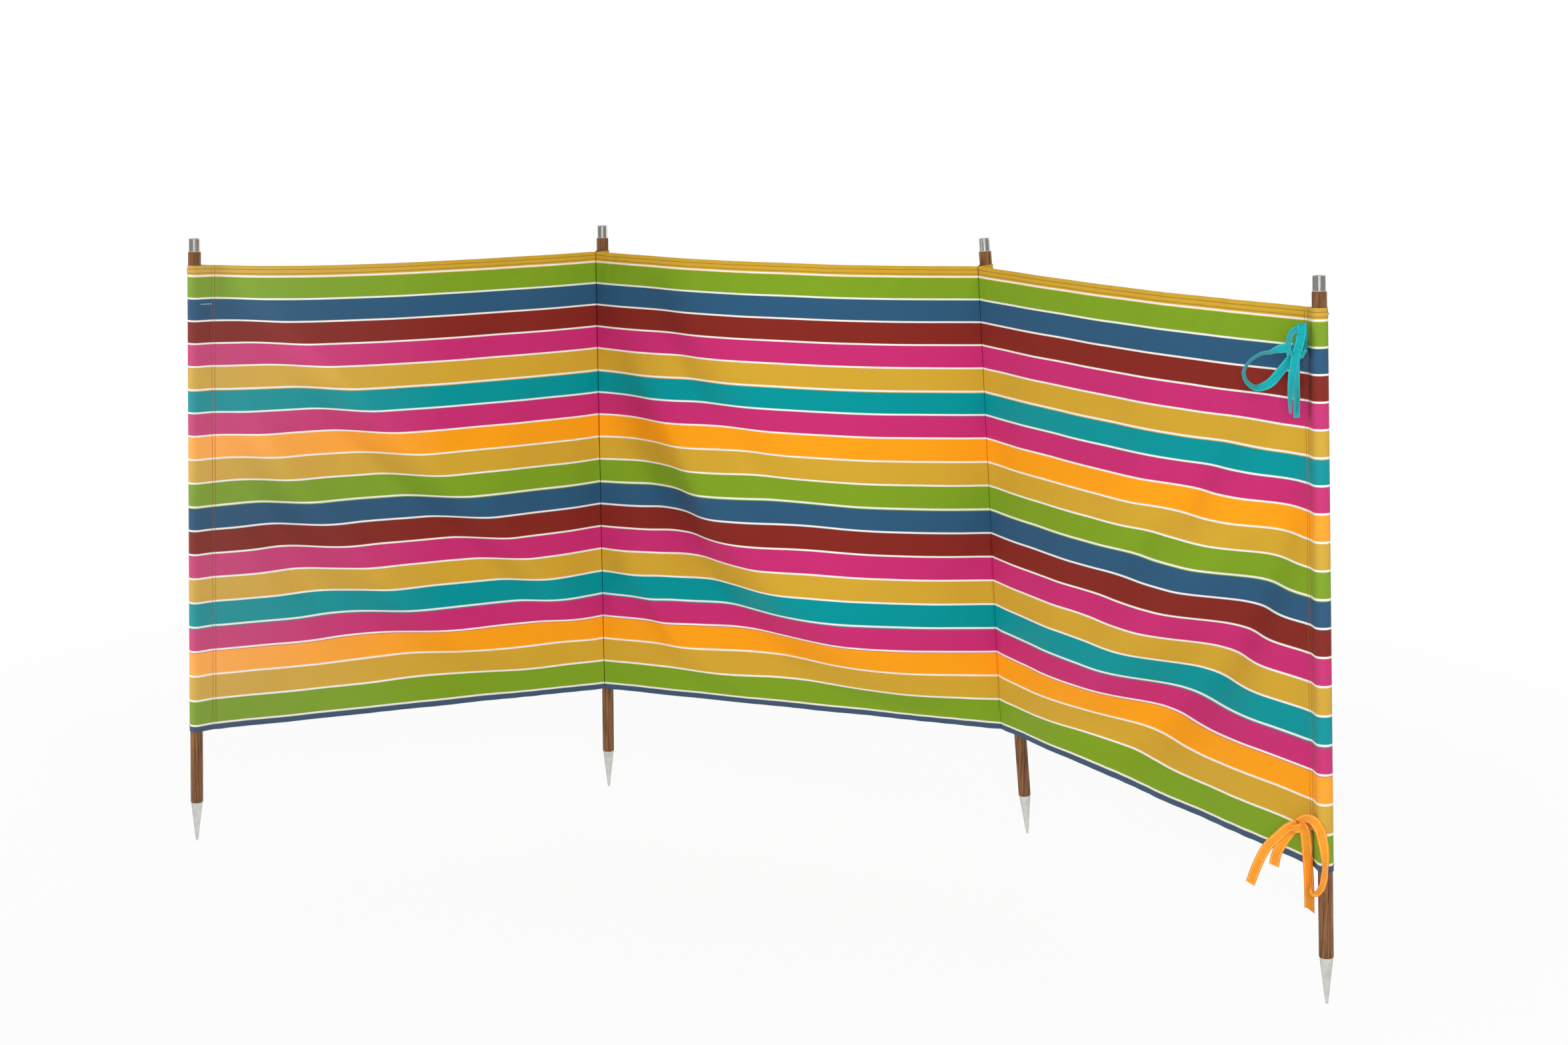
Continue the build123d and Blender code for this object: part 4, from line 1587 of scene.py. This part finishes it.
@dataclass
class Tie:
    """A sewn tape knotted in a bow at the right end seam."""

    name: str
    knot: Triple
    tapes: tuple[Tape, ...]
    wrap_tilt: float
    finish: TapeFinish
    slot: str
    width: float = 0.019
    thickness: float = 0.0014
    across_shares: tuple[float, ...] = (-1, -0.9, -0.55, 0, 0.55, 0.9, 1.0)
    thickness_shares: tuple[float, ...] = (0.45, 1.0, 0.7, 0.62, 0.7, 1.0, 0.45)
    wrap_turn: Span = (-0.3, 2.35 * math.pi)
    wrap_points: int = 44
    wrap_radius: float = 0.0094
    wrap_growth: float = 0.0006
    wrap_width_share: float = 1.15
    wrap_out: float = 0.0085
    wrap_climb: float = 0.0006
    wrap_drop: float = 0.001
    wrap_roll: float = 0.15
    sharp_degrees: float = 70.0

    def _section(self) -> Row:
        """Outline the tape, thicker along its sewn edges.

        Returns:
            The places across the tape and through it.
        """
        across = np.array(self.across_shares) * self.width / 2
        half = np.array(self.thickness_shares) * self.thickness / 2
        return np.concatenate([across, across[::-1]]), np.concatenate([half, -half[::-1]])

    def _ribbon(self, path: np.ndarray, side: np.ndarray, slant: float) -> tuple[Form, np.ndarray]:
        """Sweep the tape along a path.

        Args:
            path: Points of the centre line.
            side: Direction across the tape at each point.
            slant: Metres that one corner of the cut end stands past its middle.

        Returns:
            The points and faces, and the cloth coordinates.
        """
        ahead = unit(np.gradient(path, axis=0))
        side = squared(side, ahead)
        face = np.cross(ahead, side)
        across, through = self._section()
        points = path[:, None] + side[:, None] * across[:, None] + face[:, None] * through[:, None]
        points[-1] += ahead[-1] * (slant * across / (self.width / 2))[:, None]
        count = len(across)
        faces = grid_faces(len(path), count, closed=True)
        faces.append(tuple(range(count)))
        faces.append(tuple((len(path) - 1) * count + n for n in reversed(range(count))))
        cloth = np.stack([np.repeat(run_lengths(path), count), np.tile(across, len(path))], 1)
        return (points.reshape(-1, 3), faces), cloth

    @staticmethod
    def _placed(local: np.ndarray) -> np.ndarray:
        """Right, out and up as directions of the part."""
        return local * np.array([1.0, -1.0, 1.0])

    def _join(self, name: str, runs: Sequence[Run], material: bpy.types.Material) -> bpy.types.Object:
        """Make one piece of several ribbons.

        Args:
            name: Name of the piece.
            runs: Path, across direction and slant of each ribbon.
            material: Finish of the tape.

        Returns:
            The piece.
        """
        forms, cloths = zip(*(self._ribbon(path, side, slant) for path, side, slant in runs))
        maps = {"cloth": np.concatenate(cloths)}
        piece = new_piece(name, joined(forms), material, maps, self.sharp_degrees)
        return piece

    def _bow_runs(self) -> list[Run]:
        """Lay out the loops, the tails and the root.

        Returns:
            Path, across direction and slant of each.
        """
        runs = []
        out = np.array([0.0, 1.0, 0.0])
        for tape in self.tapes:
            local, turn = tape.sampled()
            ahead = unit(np.gradient(local, axis=0))
            flat = np.cross(ahead, out) if tape.across is None else np.repeat([tape.across], len(local), 0)
            flat = squared(flat, ahead)
            proud = unit(np.cross(flat, ahead))
            side = flat * np.cos(turn)[:, None] + proud * np.sin(turn)[:, None]
            runs.append((np.array(self.knot) + self._placed(local), self._placed(side), tape.slant))
        return runs

    def _knot_run(self) -> Run:
        """Lay out the turn of tape round the middle.

        Returns:
            Its path, across direction and slant.
        """
        turn = np.linspace(*self.wrap_turn, self.wrap_points)
        grow = self.wrap_radius + self.wrap_growth * turn
        right, out = grow * np.cos(turn) * self.wrap_width_share, grow * np.sin(turn) + self.wrap_out
        lean = math.radians(self.wrap_tilt)
        up = self.wrap_climb * turn - self.wrap_drop - right * math.tan(lean)
        path = np.array(self.knot) + self._placed(np.stack([right, out, up], 1))
        side = self._placed(np.array([math.sin(lean), self.wrap_roll, math.cos(lean)]))
        return path, np.repeat(side[None], len(turn), 0), 0.0

    def build(self, effects: Effects) -> None:
        """Args:
            effects: The shared effects.
        """
        material = self.finish.material(effects)
        runs = self._bow_runs()
        bow = self._join(f"{self.name}_bow", runs, material)
        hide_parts(f"{self.name}_loops", f"{self.name}_tails")
        knot = self._join(f"{self.name}_wrap", [self._knot_run()], material)
        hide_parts(f"{self.name}_knot")


@dataclass(frozen=True)
class Hoop:
    """Trim that runs round a pole: middle of its section as radius and rise, and its half sizes."""

    radius: float
    rise: float
    half_width: float
    half_height: float
    section_points: int = 12
    segments: int = 48

    def turned(self, line: PoleLine, height: float) -> Form:
        """Turn the section about a pole.

        Args:
            line: The pole's centre line.
            height: Height along it that the rise starts from.

        Returns:
            The points and faces.
        """
        turn = np.linspace(0, FULL_TURN, self.section_points, endpoint=False)
        radii = (self.radius + self.half_width * np.cos(turn))[:, None]
        rises = (self.rise + self.half_height * np.sin(turn))[:, None]
        headings = np.linspace(0, 360, self.segments, endpoint=False)
        rings = [line.at(height) + line.square(angle) * radii + line.axis * rises for angle in headings]
        faces = grid_faces(self.segments, self.section_points, closed=True, looped=True)
        return np.concatenate(rings), faces


@dataclass(frozen=True)
class Stud:
    """A small domed head: its radius, and shares of it for the radius and the height of each level."""

    radius: float
    levels: Points = ((1.0, -0.4), (1.0, 0.12), (0.9, 0.32), (0.65, 0.47), (0.33, 0.55))
    segments: int = 16

    def build(
        self, name: str, place: np.ndarray, out: np.ndarray, material: bpy.types.Material, slot: str
    ) -> None:
        """Make the head.

        Args:
            name: Name of the piece.
            place: Middle of its seat.
            out: Direction that it faces.
            material: Its finish.
            slot: The record's slot of the finish; not used.
        """
        side = unit(np.cross(out, UP))
        rise = np.cross(side, out)
        turn = np.linspace(0, FULL_TURN, self.segments, endpoint=False)
        ring = side * np.cos(turn)[:, None] + rise * np.sin(turn)[:, None]
        rings = [place + (ring * wide + out * high) * self.radius for wide, high in self.levels]
        walls = grid_faces(len(self.levels), self.segments, closed=True)
        faces = [(first, fourth, third, second) for first, second, third, fourth in walls]
        last = (len(self.levels) - 1) * self.segments
        faces += [tuple(reversed(range(self.segments))), tuple(range(last, last + self.segments))]
        new_piece(name, (np.concatenate(rings), faces), material)


@dataclass
class Pole:
    """A pole: its shaft, cap and spike take their finishes, and small trim is added."""

    name: PoleName
    length: float = 1.5
    cap_height: float = 0.033
    cap_radius: float = 0.0135
    rim_radius: float = 0.0007
    rim_proud_share: float = 0.5
    rim_height_share: float = 1.2
    spike_length: float = 0.099
    spike_radius: float = 0.014
    spike_tip_share: float = 0.2
    lip_half_width: float = 0.0004
    lip_half_height: float = 0.0009
    lip_seat: float = 0.0001
    pin_height: float = 0.086
    pin_heading: float = -78.0
    pin: Stud = Stud(0.0016)

    def dress(self, wood: bpy.types.Material, cap: bpy.types.Material, spike: bpy.types.Material) -> None:
        """Give the pole's solids their finishes.

        Args:
            wood: Finish of the shaft.
            cap: Finish of the cap.
            spike: Finish of the spike.
        """
        for part, material in (("shaft", wood), ("cap", cap), ("spike", spike)):
            node = frame["nodes"][f"{self.name.value}_{part}"]
            node.data.materials.clear()
            node.data.materials.append(material)
            LOG.info("node %s: %s", node.name, material.name)

    def add_trim(self, cap: bpy.types.Material, spike: bpy.types.Material) -> None:
        """Add the bead round the cap's mouth, and the lip and the pin of the spike.

        Args:
            cap: Finish of the bead.
            spike: Finish of the lip and the pin.
        """
        line, name = PoleLine.of(self.name), self.name.value
        rise = self.rim_radius * self.rim_height_share
        bead = Hoop(self.cap_radius + self.rim_radius * self.rim_proud_share, rise, self.rim_radius, rise)
        form = bead.turned(line, self.length - self.cap_height)
        new_piece(f"{name}_cap_bead", form, cap)
        half_height = self.lip_half_height
        lip = Hoop(self.spike_radius - self.lip_seat, -half_height, self.lip_half_width, half_height)
        form = lip.turned(line, self.spike_length)
        new_piece(f"{name}_spike_lip", form, spike)
        taper = (1 - self.spike_tip_share) * self.pin_height / self.spike_length
        out = line.square(self.pin_heading)
        seat = line.at(self.pin_height) + out * self.spike_radius * (self.spike_tip_share + taper)
        self.pin.build(f"{name}_spike_pin", seat, out, spike, "spike_steel")


@dataclass
class Nails:
    """Nails that hold the end sleeves on their poles at the hems."""

    canvas: Canvas
    drop: float = 0.012
    head: Stud = Stud(0.0026)
    headings: tuple[tuple[PoleName, float], ...] = ((PoleName.LEFT_END, 182.0), (PoleName.RIGHT_END, -4.0))

    def build(self, material: bpy.types.Material) -> None:
        """Nail both end sleeves at the top and at the bottom.

        Args:
            material: Finish of the heads.
        """
        canvas = self.canvas
        radius = canvas.pocket_radius + canvas.thickness / 2
        for pole, heading in self.headings:
            line = PoleLine.of(pole)
            out = line.square(heading)
            for label, drop in (("top", self.drop), ("bottom", canvas.height - self.drop)):
                place = line.at(canvas.top - drop) + out * radius
                self.head.build(f"{pole.value}_{label}_nail", place, out, material, "spike_steel")


@dataclass(frozen=True)
class Lamp:
    """A large soft lamp, which metal doesn't show: its place, its width and its power in watts."""

    name: str
    place: Triple
    size: float
    power: float

    def build(self, aim: Triple) -> None:
        """Hang the lamp.

        Args:
            aim: Point that it shines at.
        """
        data = bpy.data.lights.new(self.name, "AREA")
        data.shape, data.size, data.energy = "DISK", self.size, self.power
        lamp = bpy.data.objects.new(self.name, data)
        lamp.location = self.place
        lamp.visible_camera = False
        lamp.visible_glossy = False
        lamp.rotation_euler = (Vector(aim) - Vector(self.place)).to_track_quat("-Z", "Y").to_euler()
        bpy.context.scene.collection.objects.link(lamp)


@dataclass
class Studio:
    """Plain pale floor, soft light and the camera."""

    centre: Triple = (0.3, -0.45, 0.75)
    camera_place: Triple = (0.468, -5.549, 1.918)
    camera_pitch: float = 8.04
    lens: float = 49.5
    sensor: float = 36.0
    shift: float = -0.10
    white: Colour = (1.0, 1.0, 1.0, 1.0)
    ambient: float = 0.43
    floor_level: float = -0.0006
    floor_half_size: float = 40.0
    floor_paint: Colour = (0.9, 0.9, 0.9, 1.0)
    shadow_reach: float = 1.7
    glow_share: float = 0.91
    lamps: tuple[Lamp, ...] = (
        Lamp("front", (0.4, -7.1, 2.8), 2.4, 156.0),
        Lamp("key", (3.9, -5.8, 4.6), 3.2, 102.0),
        Lamp("fill", (-5.6, -1.4, 1.2), 2.0, 115.0),
        Lamp("back", (0.5, 5.5, 4.5), 4.0, 110.0),
    )
    card_arcs: tuple[Span, ...] = ((-200.0, -108.0), (-82.0, -78.0), (-72.0, 10.0))
    card_points: int = 25
    card_distance: float = 9.0
    card_half_height: float = 6.0
    card_tint: Colour = (1.0, 0.99, 0.97, 1.0)
    card_grey: float = 0.3
    canopy_height: float = 5.0
    canopy_radius: float = 3.2
    canopy_points: int = 32

    def build(self) -> None:
        """Set up the whole studio."""
        self._camera()
        self._world()
        self._floor()
        for lamp in self.lamps:
            lamp.build(self.centre)
        for start, end in self.card_arcs:
            self._flag(start, end)
        self._canopy()
        bpy.context.scene.view_settings.view_transform = "Standard"

    def _camera(self) -> None:
        """Camera at the photograph's viewing angle."""
        data = bpy.data.cameras.new("camera")
        data.lens, data.sensor_width, data.shift_y = self.lens, self.sensor, self.shift
        camera = bpy.data.objects.new("camera", data)
        camera.location = self.camera_place
        camera.rotation_euler = (math.radians(90 - self.camera_pitch), 0.0, 0.0)
        bpy.context.scene.collection.objects.link(camera)
        bpy.context.scene.camera = camera

    @staticmethod
    def _seen(graph: Graph) -> Socket:
        """Tell the rays that show the background: from the camera, off metal and through glass.

        Args:
            graph: The graph to add to.

        Returns:
            A mask that is 1 on those rays.
        """
        path = graph.add("LightPath").outputs
        rays = [path[f"Is {ray} Ray"] for ray in ("Camera", "Glossy", "Transmission")]
        return graph.gathered("MAXIMUM", rays)

    def _world(self) -> None:
        """White surroundings to look at, with an even, weaker light."""
        world = bpy.data.worlds.new("surroundings")
        world.use_nodes = True
        graph = Graph(world.node_tree)
        light, white = (
            graph.add("Background", {"Color": self.white, "Strength": strength}).outputs[0]
            for strength in (self.ambient, 1.0)
        )
        mixed = graph.add("MixShader", {0: self._seen(graph), 1: light, 2: white})
        graph.add("OutputWorld", {"Surface": mixed.outputs[0]})
        bpy.context.scene.world = world

    @staticmethod
    def _prop(name: str, form: Form, finish: str) -> tuple[bpy.types.Object, Graph]:
        """Make a thing of the studio, which isn't part of the windbreak.

        Args:
            name: Its name.
            form: Its points and faces.
            finish: Name of its material.

        Returns:
            The object and the empty graph of its material.
        """
        points, faces = form
        mesh = bpy.data.meshes.new(name)
        mesh.from_pydata([tuple(point) for point in points], [], faces)
        prop = bpy.data.objects.new(name, mesh)
        material = bpy.data.materials.new(finish)
        material.use_nodes = True
        mesh.materials.append(material)
        bpy.context.scene.collection.objects.link(prop)
        return prop, Graph(material.node_tree)

    def _floor(self) -> None:
        """Pale floor that takes soft shadows."""
        size = self.floor_half_size
        corners = np.array([(-size, -size, 0), (size, -size, 0), (size, size, 0), (-size, size, 0)])
        floor, graph = self._prop("floor", (corners, [(0, 1, 2, 3)]), "pale_floor")
        floor.location.z = self.floor_level
        paint = graph.add("BsdfDiffuse", {"Color": self.floor_paint})
        glow = graph.add("Emission", {"Color": self.white, "Strength": 1.0})
        middle = (*self.centre[:2], 0.0)
        place = graph.add("NewGeometry").outputs["Position"]
        reach = graph.add("VectorMath", {0: place, 1: middle}, operation="DISTANCE").outputs["Value"]
        clear = graph.span(reach, self.shadow_reach, self.shadow_reach * 2, self.glow_share, 1.0)
        share = graph.maths("MULTIPLY", self._seen(graph), clear)
        mixed = graph.add("MixShader", {0: share, 1: paint.outputs[0], 2: glow.outputs[0]})
        graph.add("OutputMaterial", {"Surface": mixed.outputs[0]})

    def _arc(self, turn: np.ndarray, radius: float, height: float) -> np.ndarray:
        """Points at turns in radians on a level circle round the middle of the set."""
        ring = np.stack([np.cos(turn), np.sin(turn), np.zeros_like(turn)], 1) * radius
        return ring + np.array([*self.centre[:2], height])

    def _flag(self, start: float, end: float) -> None:
        """Stand a grey card on an arc round the set.

        Args:
            start: Heading of one edge from the middle of the set, in degrees from +X.
            end: Heading of the other edge.
        """
        base = self._arc(np.radians(np.linspace(start, end, self.card_points)), self.card_distance, 0.0)
        rise = UP * self.card_half_height
        self._card((np.stack([base - rise, base + rise], 1).reshape(-1, 3), grid_faces(self.card_points, 2)))

    def _canopy(self) -> None:
        """A grey round card overhead that gives the caps a darker edge along their tops."""
        turn = np.linspace(0, FULL_TURN, self.canopy_points, endpoint=False)
        ring = self._arc(turn, self.canopy_radius, self.canopy_height)
        self._card((ring, [tuple(range(self.canopy_points))]))

    def _card(self, form: Form) -> None:
        """Make a grey card that only reflections show.

        Args:
            form: Its points and faces.
        """
        card, graph = self._prop("card", form, "grey_card")
        grey = graph.add("Emission", {"Color": self.card_tint, "Strength": self.card_grey})
        graph.add("OutputMaterial", {"Surface": grey.outputs[0]})
        card.visible_camera = card.visible_diffuse = card.visible_shadow = False
        card.visible_transmission = card.visible_volume_scatter = False


def main() -> None:
    """Build the windbreak's looks in order."""
    logging.basicConfig(level=logging.INFO, format="%(name)s %(message)s")
    effects = Effects()
    wood = WoodFinish().material(effects)
    cap = MetalFinish("polished_cap", dyed(226, 226, 226), polish=0.09, smear=0.06).material(effects)
    satin = MetalFinish("satin_spike", dyed(223, 223, 218), polish=0.42, smear=0.12, turned=True, edge=0.5)
    spike = satin.material(effects)
    nail = MetalFinish("dull_nail", dyed(120, 110, 96), polish=0.4, smear=0.2).material(effects)
    for name in PoleName:
        pole = Pole(name)
        pole.dress(wood, cap, spike)
        pole.add_trim(cap, spike)
    canvas = Canvas(effects)
    sheet = canvas.build()
    Sewing(canvas, effects).build()
    Nails(canvas).build(nail)
    teal = TapeFinish("teal_tape", Dye.TEAL_TAPE)
    orange = TapeFinish("orange_tape", Dye.ORANGE_TAPE)
    upper = Tie("upper_tie", (1.4926, -1.275, 1.3426), UPPER_TAPES, 25.0, teal, "teal_tape")
    lower = Tie("lower_tie", (1.524, -1.29, 0.3625), LOWER_TAPES, -20.0, orange, "orange_tape", width=0.0208)
    for tie in (upper, lower):
        tie.build(effects)
    Studio().build()


if __name__ == "__main__":
    main()
